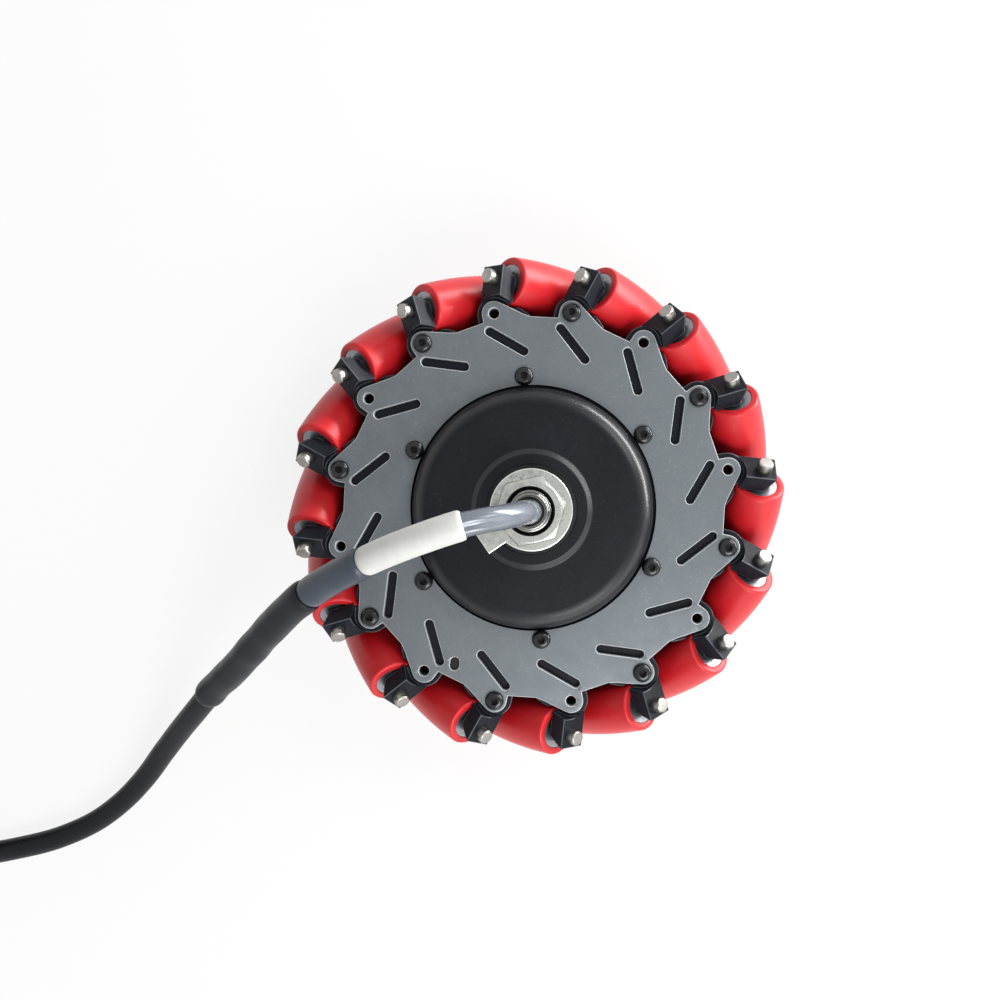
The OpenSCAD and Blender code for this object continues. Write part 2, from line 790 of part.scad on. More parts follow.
// A solid tube of the given radii along the points p.
module tube(p, radii) {
    last = (len(p) - 1) * cable_sides;
    walls = [for (i = [0 : cable_sides : last - cable_sides], f = wall_faces(i, i + cable_sides)) f];
    ends = [
        [for (j = [cable_sides - 1 : -1 : 0]) j],
        [for (j = [0 : cable_sides - 1]) last + j]
    ];
    polyhedron(points = tube_rings(p, radii, 0, len(p) - 1), faces = concat(walls, ends), convexity = 4);
}

// A hollow tube round the cable, between two points of its route.
module sleeve(from, to, r_out, r_in) {
    inner = (to - from + 1) * cable_sides;
    last = inner - cable_sides;
    outside = [for (i = [0 : cable_sides : last - cable_sides], f = wall_faces(i, i + cable_sides)) f];
    inside = [for (i = [0 : cable_sides : last - cable_sides], f = wall_faces(inner + i + cable_sides, inner + i)) f];
    ends = concat(wall_faces(inner, 0), wall_faces(last, inner + last));
    polyhedron(
        points = concat(
            tube_rings(cable_route, [for (q = cable_route) r_out], from, to),
            tube_rings(cable_route, [for (q = cable_route) r_in], from, to)
        ),
        faces = concat(outside, inside, ends),
        convexity = 6
    );
}

// A place on top of the coil, an angle on from where the cable joins it, and the cable's heading there.
function on_coil(a) = [coil_centre[0] - coil_r * sin(a), coil_centre[1] - coil_r * cos(a), coil_top + cable_r + seat_gap];
function coil_heading(a) = [-cos(a), sin(a), 0];

// The cable's last stretch, lying on the coil.
module cable_tail() {
    p = concat([for (a = [0 : 10 : tail_turn]) on_coil(a)], [on_coil(tail_turn) + tail_run * coil_heading(tail_turn)]);
    tube(p, [for (q = p) cable_r]);
}

// The thin lead runs into the sleeve, and the thicker cable out of the grey shrink tube.
module motor_cable() {
    radii = [for (i = [0 : len(cable_route) - 1]) i <= sleeve_to ? lead_r : cable_r];
    color("#22232a") {
        tube(cable_route, radii);
        cable_tail();
    }
}

module white_sleeve() {
    color("ivory") sleeve(sleeve_from, sleeve_to, sleeve_d / 2, cable_r + sleeve_gap);
}

module grey_shrink() {
    color("#3b4450") sleeve(sleeve_to, shrink_to, shrink_d / 2, cable_r + sleeve_gap);
}

module black_shrink() {
    color("#22232a") sleeve(shrink_to, outer_shrink_to, outer_shrink_d / 2, cable_r + sleeve_gap);
}

// A rubber ring in the mouth of the axle that the lead passes through.
module cable_grommet() {
    color("#1c1c1e") on_wheel() translate([0, 0, axle_top_z - 4])
        ring(axle_bore_d / 2 - seat_gap, lead_r + seat_gap, 4);
}

// The stored length: two turns lying one on the other.
module cable_coil() {
    color("#22232a") translate([coil_centre[0], coil_centre[1], coil_rest])
        ring(coil_r + cable_r, coil_r - cable_r, coil_turns * cable_d);
}

module cable_tie() {
    strap = 1;
    slack = 0.3;
    w = cable_d + 2 * slack;
    h = coil_turns * cable_d + 2 * slack;
    color("#1c1c1e") translate([coil_centre[0] - 3, coil_centre[1] + coil_r, coil_rest - slack])
        rotate([90, 0, 90]) linear_extrude(height = 6) translate([-w / 2, 0]) difference() {
            translate([-strap, -strap]) square([w + 2 * strap, h + 2 * strap]);
            square([w, h]);
        }
}

// A round plug with a knurled nut, lying on the coil, with its pins inside its mouth.
module cable_connector() {
    start = on_coil(tail_turn) + (tail_run + seat_gap) * coil_heading(tail_turn);
    mouth = 12;
    color("dimgray") translate([start[0], start[1], coil_top + connector_r + seat_gap])
        rotate([0, 90, 180 - tail_turn]) difference() {
            union() {
                cylinder(r = connector_r - 1.2, h = connector_len);
                cylinder(r = connector_r, h = 14);
                translate([0, 0, 20]) cylinder(r = connector_r, h = 16);
            }
            translate([0, 0, connector_len - mouth]) difference() {
                cylinder(r = connector_r - 2.4, h = mouth + past);
                for (k = [0 : 5]) {
                    rotate([0, 0, 60 * k]) translate([3.2, 0, -past]) cylinder(r = 0.7, h = mouth - 1);
                }
            }
        }
}

front_plate();
rear_plate();
front_lug_ring();
rear_lug_ring();
roller_axles();
tab_screws();
motor_screws();
clock_dowels();
motor_drum();
front_cover();
rear_cover();
magnets();
motor_bearings();
shaft_seal();
stator_core();
windings();
stator_carrier();
axle();
axle_nut();
tongue_washer();
cable_grommet();
motor_cable();
white_sleeve();
grey_shrink();
black_shrink();
cable_coil();
cable_tie();
cable_connector();
roller_tread(0);  // tread_01
roller_tread(1);  // tread_02
roller_tread(2);  // tread_03
roller_tread(3);  // tread_04
roller_tread(4);  // tread_05
roller_tread(5);  // tread_06
roller_tread(6);  // tread_07
roller_tread(7);  // tread_08
roller_tread(8);  // tread_09
roller_tread(9);  // tread_10
roller_tread(10);  // tread_11
roller_tread(11);  // tread_12
roller_tread(12);  // tread_13
roller_tread(13);  // tread_14
roller_tread(14);  // tread_15
roller_tread(15);  // tread_16
roller_inside(0);  // core_01
roller_inside(1);  // core_02
roller_inside(2);  // core_03
roller_inside(3);  // core_04
roller_inside(4);  // core_05
roller_inside(5);  // core_06
roller_inside(6);  // core_07
roller_inside(7);  // core_08
roller_inside(8);  // core_09
roller_inside(9);  // core_10
roller_inside(10);  // core_11
roller_inside(11);  // core_12
roller_inside(12);  // core_13
roller_inside(13);  // core_14
roller_inside(14);  // core_15
roller_inside(15);  // core_16
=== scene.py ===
"""A mecanum wheel with a hub motor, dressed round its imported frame.

The frame gives every place. This script adds the rounded edges, threads, sockets and cords, and
the finish of each surface. Shapes are worked out in millimetres and turn into metres as they
become pieces.
"""

import json
import logging
from collections.abc import Sequence
from dataclasses import dataclass, field
from enum import Enum
from math import atan, cos, pi, radians, sin, sqrt, tan

import bmesh
import bpy
from bmesh.types import BMEdge, BMesh, BMVert
from bpy.types import ID, Material, Mesh, NodeSocket, Object, World
from mathutils import Matrix, Vector
from mathutils.geometry import interpolate_bezier


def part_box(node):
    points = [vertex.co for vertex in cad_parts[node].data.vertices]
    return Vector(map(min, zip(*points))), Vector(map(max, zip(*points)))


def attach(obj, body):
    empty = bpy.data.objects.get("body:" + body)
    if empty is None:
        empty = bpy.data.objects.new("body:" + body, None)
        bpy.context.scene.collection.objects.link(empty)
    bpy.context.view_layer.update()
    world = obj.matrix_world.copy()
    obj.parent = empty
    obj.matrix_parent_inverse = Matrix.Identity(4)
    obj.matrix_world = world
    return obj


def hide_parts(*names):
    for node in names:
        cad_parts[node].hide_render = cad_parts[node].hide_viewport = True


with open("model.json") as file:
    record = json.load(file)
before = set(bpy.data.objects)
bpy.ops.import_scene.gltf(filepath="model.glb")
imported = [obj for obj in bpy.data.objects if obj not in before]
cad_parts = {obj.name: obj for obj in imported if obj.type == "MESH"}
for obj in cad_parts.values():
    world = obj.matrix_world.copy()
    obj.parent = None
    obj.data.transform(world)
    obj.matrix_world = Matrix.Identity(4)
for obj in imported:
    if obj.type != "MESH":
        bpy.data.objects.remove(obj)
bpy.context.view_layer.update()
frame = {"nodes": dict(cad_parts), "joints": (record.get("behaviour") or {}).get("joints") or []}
MM = 0.001
TURN = 2 * pi
AXLE, WHEEL = "axle", "wheel"
Pair = tuple[float, float]
Triple = tuple[float, float, float]
Rgba = tuple[float, float, float, float]
Profile = list[Pair]
log = logging.getLogger("wheel")


# ---- shader graphs

class Signal:
    """One output of a shader graph; calculating with it adds Math nodes."""

    def __init__(self, graph: "ShaderGraph", socket: NodeSocket) -> None:
        """Wraps an output socket of a graph."""
        self.graph = graph
        self.socket = socket

    def _math(self, operation: str, *values: "Signal | float", clamp: bool = False) -> "Signal":
        """Adds one Math node and returns its output."""
        settings = {"operation": operation, "use_clamp": clamp}
        return self.graph.node("ShaderNodeMath", settings, dict(enumerate(values)))

    def __add__(self, other: "Signal | float") -> "Signal":
        """Adds a signal or a number."""
        return self._math("ADD", self, other)

    __radd__ = __add__

    def __mul__(self, other: "Signal | float") -> "Signal":
        """Multiplies by a signal or a number."""
        return self._math("MULTIPLY", self, other)

    def __sub__(self, other: "Signal | float") -> "Signal":
        """Takes a signal or a number away."""
        return self._math("SUBTRACT", self, other)

    def __rsub__(self, other: "Signal | float") -> "Signal":
        """Takes the signal away from a number."""
        return self._math("SUBTRACT", other, self)

    def sine(self) -> "Signal":
        """The sine, brought to the range from 0 to 1."""
        return self._math("SINE", self) * 0.5 + 0.5

    def clamped(self) -> "Signal":
        """The same signal, kept from 0 to 1."""
        return self._math("ADD", self, 0.0, clamp=True)

    def above(self, start: float, end: float) -> "Signal":
        """A mask that goes from 0 at start to 1 at end."""
        return ((self - start) * (1 / (end - start))).clamped()

    def blended(self, other: "Signal", share: float) -> "Signal":
        """The signal with a share of another one in it."""
        return self * (1 - share) + other * share


class ShaderGraph:
    """The nodes of one material or world."""

    def __init__(self, owner: Material | World) -> None:
        """Clears the owner's nodes.

        Args:
            owner: The material or world to draw in.
        """
        owner.use_nodes = True
        self.tree = owner.node_tree
        self.tree.nodes.clear()

    def node(self, kind: str, settings: dict[str, object] | None = None,
             inputs: dict[str | int, object] | None = None, output: str | int = 0) -> Signal:
        """Adds a node.

        Args:
            kind: The node's type.
            settings: Its settings, which are set first.
            inputs: The value, or the signal to link, of each input socket.
            output: The output to return.

        Returns:
            The signal of that output.
        """
        made = self.tree.nodes.new(kind)
        for name, value in (settings or {}).items():
            setattr(made, name, value)
        for name, value in (inputs or {}).items():
            if isinstance(value, Signal):
                self.tree.links.new(value.socket, made.inputs[name])
            else:
                made.inputs[name].default_value = value
        return Signal(self, made.outputs[output] if made.outputs else None)

    def noise(self, place: Signal, size: float, detail: float = 2.0,
              harshness: float = 0.5) -> Signal:
        """Clouds of about a size in the units of place."""
        inputs = {"Vector": place, "Scale": 1 / size, "Detail": detail, "Roughness": harshness}
        return self.node("ShaderNodeTexNoise", {}, inputs)

    def mixed(self, first: object, second: object, share: Signal | float) -> Signal:
        """One colour going over into another."""
        inputs = {0: share, 6: first, 7: second}
        return self.node("ShaderNodeMix", {"data_type": "RGBA"}, inputs, 2)

    def spread(self, place: Signal, scale: Triple) -> Signal:
        """A place with its three numbers multiplied."""
        return self.node("ShaderNodeVectorMath", {"operation": "MULTIPLY"}, {0: place, 1: scale})

    def length(self, place: Signal) -> Signal:
        """How far a place is from the middle."""
        return self.node("ShaderNodeVectorMath", {"operation": "LENGTH"}, {0: place}, "Value")

    def surface(self, kind: str, shader: Signal) -> None:
        """Ends the graph in an output node of a kind."""
        self.node(kind, {}, {"Surface": shader})


# ---- finishes

# Masks, each as the value where it starts and the value where it is whole.
PATCHES = (0.32, 0.68)
SPECKS = (0.62, 0.72)
SLOPE_STARTS = (0.03, 0.25)
SLOPE_ENDS = (0.62, 0.85)
# The detail and the harshness of the two noises.
PATCH_NOISE, GRAIN_NOISE = (3.0, 0.55), (3.0, 0.6)
# How many grains wide a speck is, and what share the fine grain has in a coarser relief.
SPECK_GRAINS = 2.2
GRAIN_SHARE, GRAIN_IN_RINGS = 0.3, 0.45
STREAK_STRETCH = (0.06, 1.0, 1.0)


class Relief(Enum):
    """How the fine relief of a finish runs."""

    GRAIN = "grain"
    TURNED = "turned"
    BRUSHED = "brushed"
    LAYERED = "layered"
    WOUND = "wound"
    PEBBLED = "pebbled"


def grey(level: float) -> Rgba:
    """A grey of a level in linear light."""
    return (level, level, level, 1.0)


def linear(hexadecimal: str) -> Rgba:
    """Turns a colour as a painter writes it, such as 7d8287, into linear light."""
    parts = [int(hexadecimal[i : i + 2], 16) / 255 for i in (0, 2, 4)]
    return (*(p / 12.92 if p <= 0.04045 else ((p + 0.055) / 1.055) ** 2.4 for p in parts), 1.0)


@dataclass(frozen=True)
class Finish:
    """How one kind of surface looks. Lengths are in millimetres.

    The colour drifts towards the second colour in patches, and the roughness drifts with it. The
    relief stands relief_height deep, with grain of grain_size in it. A coat on slopes lies only
    where the surface turns away from level, as where a cover's shoulder is rubbed.
    """

    name: str
    colour: str
    second: str
    roughness: float
    metallic: float = 0.0
    patch: float = 12.0
    drift: float = 0.5
    uneven: float = 0.12
    grain_size: float = 0.35
    relief_height: float = 0.03
    relief: Relief = Relief.GRAIN
    pitch: float = 0.6
    coat: float = 0.0
    coat_roughness: float = 0.25
    coat_on_slopes: bool = False
    specular: float = 0.5
    specks: float = 0.0
    speck_colour: str = "ffffff"

    def material(self) -> Material:
        """The finish as a material, made on first use.

        Returns:
            The material.
        """
        name = f"{self.name}_finish"
        found = bpy.data.materials.get(name)
        if found is not None:
            return found
        material = bpy.data.materials.new(name)
        graph = ShaderGraph(material)
        coordinates = graph.node("ShaderNodeTexCoord", output="Object")
        place = graph.spread(coordinates, (1 / MM, 1 / MM, 1 / MM))
        patches = graph.noise(place, self.patch, *PATCH_NOISE).above(*PATCHES)
        grain = graph.noise(place, self.grain_size, *GRAIN_NOISE)
        height = self.height(graph, place, grain)
        colour = graph.mixed(linear(self.colour), linear(self.second), patches * self.drift)
        if self.specks:
            spots = graph.noise(place, self.grain_size * SPECK_GRAINS).above(*SPECKS)
            colour = graph.mixed(colour, linear(self.speck_colour), spots * self.specks)
        rough = self.roughness + (patches - 0.5) * self.uneven + (grain - 0.5) * self.uneven
        relief = {"Strength": 1.0, "Distance": self.relief_height * MM, "Height": height}
        shader = graph.node("ShaderNodeBsdfPrincipled", {}, {
            "Base Color": colour,
            "Roughness": rough.clamped(),
            "Metallic": self.metallic,
            "Specular IOR Level": self.specular,
            "Coat Weight": self.coat_weight(graph),
            "Coat Roughness": self.coat_roughness,
            "Normal": graph.node("ShaderNodeBump", {}, relief),
        })
        graph.surface("ShaderNodeOutputMaterial", shader)
        material.diffuse_color = linear(self.colour)
        return material

    def coat_weight(self, graph: ShaderGraph) -> Signal | float:
        """The coat's weight, which lies on slopes only where the finish says so.

        Args:
            graph: The graph to draw in.

        Returns:
            The weight.
        """
        if not self.coat_on_slopes:
            return self.coat
        normal = graph.node("ShaderNodeTexCoord", output="Normal")
        level = graph.node("ShaderNodeSeparateXYZ", {}, {0: normal}, "Z")
        slope = 1 - level * level
        return (slope.above(*SLOPE_STARTS) - slope.above(*SLOPE_ENDS)) * self.coat

    def height(self, graph: ShaderGraph, place: Signal, grain: Signal) -> Signal:
        """The relief as a height from 0 to 1.

        Args:
            graph: The graph to draw in.
            place: The place on the piece in millimetres.
            grain: The fine noise.

        Returns:
            The height.
        """
        if self.relief is Relief.GRAIN:
            return grain
        if self.relief is Relief.PEBBLED:
            inputs = {"Vector": place, "Scale": 1 / self.pitch}
            cells = graph.node("ShaderNodeTexVoronoi", {"feature": "SMOOTH_F1"}, inputs)
            return cells.blended(grain, GRAIN_SHARE)
        if self.relief is Relief.BRUSHED:
            streaks = graph.noise(graph.spread(place, STREAK_STRETCH), self.pitch)
            return streaks.blended(grain, GRAIN_SHARE)
        way = graph.node("ShaderNodeSeparateXYZ", {}, {0: place}, "Z")
        if self.relief is not Relief.LAYERED:
            radius = graph.length(graph.spread(place, (1.0, 1.0, 0.0)))
            way = radius + (way if self.relief is Relief.TURNED else way * 0.5)
        return (way * (TURN / self.pitch)).sine().blended(grain, GRAIN_IN_RINGS)


class Paint:
    """The finishes of the wheel, each named for what wears it.

    The numbers after the two colours are the fields of Finish in their order: roughness,
    metallic, patch, drift, uneven, grain_size and relief_height, then the relief and its pitch.
    """

    plate = Finish("blasted_plate", "696f73", "5f6569", 0.42, 0.55, 8, 0.7, 0.1, 0.45, 0.02,
                   specks=0.35, speck_colour="858a8d")
    # The plate's cut edges: bare aluminium, painted lighter still as a highlight line round every
    # edge.
    cut_edge_highlight = Finish("cut_plate_edge_and_highlight", "babfc1", "a3a8aa", 0.4, 0.1, 4, 0.5, 0.12, 0.3, 0.01,
                      Relief.BRUSHED, 0.3)
    casting = Finish("blasted_lugs", "0e1219", "161b24", 0.38, 0.0, 6, 0.6, 0.12, 0.5, 0.05,
                     specular=0.14, specks=0.15, speck_colour="2c323b")
    # A lighter finish for the lugs' rounded edges: partly rubbed casting, partly a painted
    # highlight line.
    casting_edge_highlight = Finish("lug_edge_rubbed_and_highlight", "4a4f55", "2a2e33", 0.38, 0.3, 3, 0.8, 0.15, 0.3, 0.03)
    cover = Finish("powder_coated_cover", "080b11", "0e121a", 0.4, 0.0, 16, 0.5, 0.08, 0.5, 0.04,
                   Relief.PEBBLED, 0.55, coat=0.55, coat_roughness=0.25, coat_on_slopes=True,
                   specular=0.2, specks=0.16, speck_colour="3a404a")
    drum = Finish("painted_drum", "121416", "1a1c1f", 0.5, 0.0, 10, 0.5, 0.1, 0.5, 0.05,
                  specular=0.3)
    tread = Finish("red_tread", "c8141c", "d0222a", 0.4, 0.0, 14, 0.6, 0.08, 0.4, 0.015,
                   Relief.TURNED, 0.8, coat=0.28, coat_roughness=0.4, specular=0.3, specks=0.1,
                   speck_colour="e25358")
    core = Finish("turned_core", "94969b", "7c7e83", 0.36, 1.0, 5, 0.5, 0.1, 0.3, 0.02,
                  Relief.TURNED, 0.4)
    pin = Finish("ground_pin", "a19e99", "85827e", 0.34, 1.0, 3, 0.6, 0.12, 0.25, 0.012,
                 Relief.TURNED, 0.5)
    screw = Finish("oiled_screw", "2e3033", "222326", 0.16, 0.6, 3, 0.6, 0.08, 0.3, 0.006)
    # Near black: painted shade in the screws' hexagon sockets.
    socket = Finish("socket_painted_shade", "0b0b0c", "151516", 0.5, 0.0, 3, 0.6, 0.08, 0.3, 0.02,
                    specular=0.15)
    zinc = Finish("zinc_steel", "bfc0ba", "939792", 0.3, 1.0, 2.2, 0.8, 0.2, 0.4, 0.03,
                  specks=0.55, speck_colour="5f6461")
    # A lighter zinc for the nut's upper chamfer and the washer's cut edges: partly rubbed metal,
    # partly a painted highlight.
    zinc_edge_highlight = Finish("zinc_edge_rubbed_and_highlight", "e2e2de", "c9cac6", 0.28, 1.0, 3, 0.6, 0.15, 0.3, 0.01)
    # Near black: partly the axle's own oiled steel, partly painted shade, so that its bore and the
    # nut's countersink look unlit. The thread and the dowels wear it too.
    axle = Finish("oiled_axle_and_painted_shade", "2b2b2a", "1e1e1e", 0.34, 0.8, 4, 0.6, 0.15, 0.3, 0.02,
                  Relief.TURNED, 0.5)
    axle_edge = Finish("turned_axle_edge", "868683", "6c6c6a", 0.2, 1.0, 3, 0.7, 0.15, 0.3, 0.01)
    bearing = Finish("bearing_steel", "b8babd", "8e9195", 0.25, 1.0, 5, 0.5, 0.1, 0.3, 0.01,
                     Relief.TURNED, 0.6)
    magnet = Finish("nickel_magnet", "b3afa6", "9d9a93", 0.28, 1.0, 4, 0.5, 0.1, 0.3, 0.01)
    lamination = Finish("lamination_stack", "5d6063", "45484b", 0.5, 0.8, 6, 0.6, 0.1, 0.3, 0.08,
                        Relief.LAYERED, 0.5)
    copper = Finish("wound_copper", "b56a35", "93501f", 0.35, 0.9, 4, 0.6, 0.1, 0.3, 0.15,
                    Relief.WOUND, 0.8)
    carrier = Finish("machined_carrier", "a6a9ab", "8b8e91", 0.4, 1.0, 6, 0.5, 0.1, 0.3, 0.02,
                     Relief.TURNED, 0.5)
    rubber = Finish("seal_rubber", "0e0e0f", "181819", 0.6, 0.0, 4, 0.5, 0.1, 0.3, 0.03,
                    specular=0.3)
    lead = Finish("lead_jacket", "747a82", "62686f", 0.28, 0.3, 7, 0.7, 0.08, 0.5, 0.006,
                  coat=0.35)
    cable = Finish("cable_jacket", "0f1013", "17181c", 0.42, 0.0, 9, 0.6, 0.12, 0.6, 0.05,
                   specular=0.18)
    sleeve = Finish("white_sleeve", "d8d9d4", "cbccc6", 0.45, 0.0, 5, 0.6, 0.1, 0.4, 0.05)
    grey_shrink = Finish("grey_shrink", "353e4b", "2b333f", 0.36, 0.0, 8, 0.6, 0.14, 0.6, 0.04)
    black_shrink = Finish("black_shrink", "121418", "1a1c21", 0.4, 0.0, 8, 0.6, 0.14, 0.6, 0.05,
                          specular=0.22)
    plug = Finish("moulded_plug", "141517", "1f2023", 0.42, 0.0, 6, 0.5, 0.1, 0.4, 0.05,
                  Relief.PEBBLED, 0.5, specular=0.35)
    tie = Finish("nylon_tie", "111112", "1a1a1c", 0.38, 0.0, 5, 0.5, 0.1, 0.4, 0.02,
                 specular=0.35)


# ---- shapes

# A corner flatter than this stays; a rounding takes at most this share of a side, and its
# curve's handles reach this far towards the corner.
STRAIGHT = radians(165)
SIDE_SHARE = 0.45
HANDLE = 0.56
# How near two corners in metres are one, and how near two places in millimetres are one.
WELD = 2e-6
NEAR = 1e-6


def angles(count: int) -> list[float]:
    """So many angles, evenly spaced round a whole turn."""
    return [TURN * j / count for j in range(count)]


def quarter(steps: int) -> list[float]:
    """The angles of a quarter turn in so many steps, with both its ends."""
    return [radians(90 * i / steps) for i in range(steps + 1)]


def polar(radius: float, angle: float, z: float) -> Vector:
    """A corner at a radius, an angle and a height."""
    return Vector((radius * cos(angle), radius * sin(angle), z))


def ring(radius: float, z: float, sides: int) -> list[Vector]:
    """A level circle of corners, or one corner where the radius is nothing."""
    return [polar(radius, angle, z) for angle in angles(sides if radius > NEAR else 1)]


def hexagon_r(across: float, angle: float) -> float:
    """A hexagon's radius at an angle past one of its corners, from its width across flats."""
    return across / 2 / cos(angle % (TURN / 6) - TURN / 12)


def facing(point: Sequence[float], direction: Vector) -> Matrix:
    """A place at a point with Z along a direction."""
    return Matrix.Translation(point) @ direction.to_track_quat("Z", "Y").to_matrix().to_4x4()


def rounded(profile: Profile, radius: float, steps: int = 4) -> Profile:
    """Rounds the corners between a profile's ends.

    Args:
        profile: The corners, as radius and height.
        radius: How far from a corner its rounding starts, at most.
        steps: The pieces that a rounding has.

    Returns:
        The rounded profile.
    """
    points = [Vector(p) for p in profile]
    made = [points[0]]
    for before, corner, after in zip(points, points[1:], points[2:]):
        back, on = before - corner, after - corner
        if back.angle(on) > STRAIGHT:
            made.append(corner)
            continue
        reach = min(radius, back.length * SIDE_SHARE, on.length * SIDE_SHARE)
        start, end = corner + back.normalized() * reach, corner + on.normalized() * reach
        handles = (start.lerp(corner, HANDLE), end.lerp(corner, HANDLE))
        made += interpolate_bezier(*(p.to_3d() for p in (start, *handles, end)), steps + 1)
    return [(p.x, p.y) for p in [*made, points[-1]]]


def smooth_line(points: Sequence[Vector], steps: int) -> list[Vector]:
    """A smooth curve through points.

    Args:
        points: The points.
        steps: How many steps it takes between each two.

    Returns:
        The points of the curve.
    """
    p = [2 * points[0] - points[1], *points, 2 * points[-1] - points[-2]]
    line = []
    for a, b, c, d in zip(p, p[1:], p[2:], p[3:]):
        bend, twist = 2 * a - 5 * b + 4 * c - d, 3 * b - a - 3 * c + d
        for t in (j / steps for j in range(steps)):
            line.append(0.5 * (2 * b + (c - a) * t + bend * t**2 + twist * t**3))
    return [*line, points[-1]]


class Shape:
    """The corners and faces of one piece while it is made, in millimetres."""

    def __init__(self) -> None:
        """Starts with nothing in it."""
        self.corners: list[Vector] = []
        self.faces: list[tuple[int, ...]] = []
        self.paints: list[int] = []

    def skin(self, rings: Sequence[Sequence[Vector]], closed: bool = False, paint: int = 0,
             place: Matrix | None = None) -> "Shape":
        """Joins each ring of corners to the next one.

        Args:
            rings: Rings of as many corners each, or of one corner for a pole.
            closed: Whether the last ring goes on to the first.
            paint: Which of the piece's finishes the faces wear.
            place: Where the rings go.

        Returns:
            The shape itself.
        """
        starts = []
        for corners in rings:
            starts.append(len(self.corners))
            self.corners += [place @ c if place else c for c in corners]
        count = max(len(r) for r in rings)
        for i in range(len(rings) if closed else len(rings) - 1):
            k = (i + 1) % len(rings)
            for j in range(count):
                following = (j + 1) % count
                low = [starts[i] + (n if len(rings[i]) > 1 else 0) for n in (j, following)]
                high = [starts[k] + (n if len(rings[k]) > 1 else 0) for n in (following, j)]
                self.faces.append(tuple(dict.fromkeys(low + high)))
                self.paints.append(paint)
        return self

    def lathe(self, profile: Profile, sides: int, closed: bool = False, paint: int = 0,
              place: Matrix | None = None) -> "Shape":
        """Turns a profile of radius and height round the Z axis."""
        return self.skin([ring(r, z, sides) for r, z in profile], closed, paint, place)

    def tube(self, line: Sequence[Vector], radii: Sequence[float], sides: int) -> "Shape":
        """A closed tube down a line, which doesn't twist.

        Args:
            line: The points down its middle.
            radii: Its radius at each of them.
            sides: The corners round it.

        Returns:
            The shape itself.
        """
        rings = [[line[0]]]
        across = Vector((0.35, -0.94, 0))
        for i, point in enumerate(line):
            ahead = (line[min(i + 1, len(line) - 1)] - line[max(i - 1, 0)]).normalized()
            across = (across - ahead * across.dot(ahead)).normalized()
            up = ahead.cross(across)
            rings.append([
                point + radii[i] * (cos(turn) * across + sin(turn) * up)
                for turn in angles(sides)
            ])
        return self.skin([*rings, [line[-1]]])

    def mesh(self, name: str, paints: Sequence[Finish], crease: float = 32) -> Mesh:
        """Makes the mesh.

        Args:
            name: The mesh's name.
            paints: The finishes that the faces refer to.
            crease: The angle in degrees above which an edge stays sharp.

        Returns:
            The mesh in metres, with its faces turned outwards.
        """
        mesh = bpy.data.meshes.new(name)
        mesh.from_pydata([c * MM for c in self.corners], [], self.faces)
        mesh.polygons.foreach_set("material_index", self.paints)
        work = bmesh.new()
        work.from_mesh(mesh)
        bmesh.ops.remove_doubles(work, verts=work.verts, dist=1e-7)
        bmesh.ops.recalc_face_normals(work, faces=work.faces)
        return finished(work, mesh, paints, crease)


def finished(work: BMesh, mesh: Mesh, paints: Sequence[Finish],
             crease: float = 30) -> Mesh:
    """Fills a mesh, shades it smooth between its creases and gives it its materials.

    Args:
        work: The shape, in metres, which is freed.
        mesh: The mesh to fill.
        paints: The finishes that its faces refer to.
        crease: The angle in degrees above which an edge stays sharp.

    Returns:
        The mesh.
    """
    work.to_mesh(mesh)
    work.free()
    mesh.shade_smooth()
    mesh.set_sharp_from_angle(angle=radians(crease))
    for paint in paints:
        mesh.materials.append(paint.material())
    return mesh


def linked(name: str, data: ID) -> Object:
    """Adds an object to the scene.

    Args:
        name: The object's name.
        data: Its mesh, lamp or camera.

    Returns:
        The object.
    """
    made = bpy.data.objects.new(name, data)
    bpy.context.scene.collection.objects.link(made)
    return made


def put(name: str, mesh: Mesh, body: str, stands_for: Sequence[str] = (),
        place: Matrix | None = None, even: bool = True) -> Object:
    """Adds a piece to the scene.

    Args:
        name: The piece's name.
        mesh: Its mesh.
        body: The body that it rides on.
        stands_for: The CAD nodes that it replaces.
        place: Where it stands, in metres.
        even: Whether large faces keep their own direction in the shading.

    Returns:
        The object.
    """
    piece = linked(name, mesh)
    if place is not None:
        piece.matrix_world = place
    if even:
        piece.modifiers.new("even_shading", "WEIGHTED_NORMAL").keep_sharp = True
    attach(piece, body)
    if stands_for:
        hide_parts(*stands_for)
    log.info("%s: %d faces on %s", name, len(mesh.polygons), body)
    return piece


def dress(worn: dict[str, Finish]) -> None:
    """Gives CAD nodes that stay in view their finishes.

    Args:
        worn: The finish of each node.
    """
    for node, paint in worn.items():
        mesh = frame["nodes"][node].data
        mesh.materials.clear()
        mesh.materials.append(paint.material())
        log.info("%s: wears %s", node, paint.name)


def heights(node: str) -> Pair:
    """The heights of a CAD node's lowest and highest point, in millimetres."""
    low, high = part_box(node)
    return low.z / MM, high.z / MM


def welded(node: str) -> BMesh:
    """A CAD node's mesh with its faces joined.

    Args:
        node: The CAD node.

    Returns:
        The mesh, in metres.
    """
    work = bmesh.new()
    work.from_mesh(frame["nodes"][node].data)
    bmesh.ops.remove_doubles(work, verts=work.verts, dist=WELD)
    work.verts.index_update()
    work.normal_update()
    return work


def islands(node: str) -> list[tuple[Vector, Vector]]:
    """Measures each separate solid in a CAD node.

    Args:
        node: The CAD node.

    Returns:
        The lowest and the highest corner of each solid's box, in millimetres.
    """
    work = welded(node)
    seen: set[int] = set()
    boxes = []
    for start in work.verts:
        if start.index in seen:
            continue
        todo, found = [start], []
        seen.add(start.index)
        while todo:
            corner = todo.pop()
            found.append(corner.co / MM)
            for edge in corner.link_edges:
                other = edge.other_vert(corner)
                if other.index not in seen:
                    seen.add(other.index)
                    todo.append(other)
        boxes.append(tuple(Vector(map(pick, zip(*found))) for pick in (min, max)))
    work.free()
    return boxes


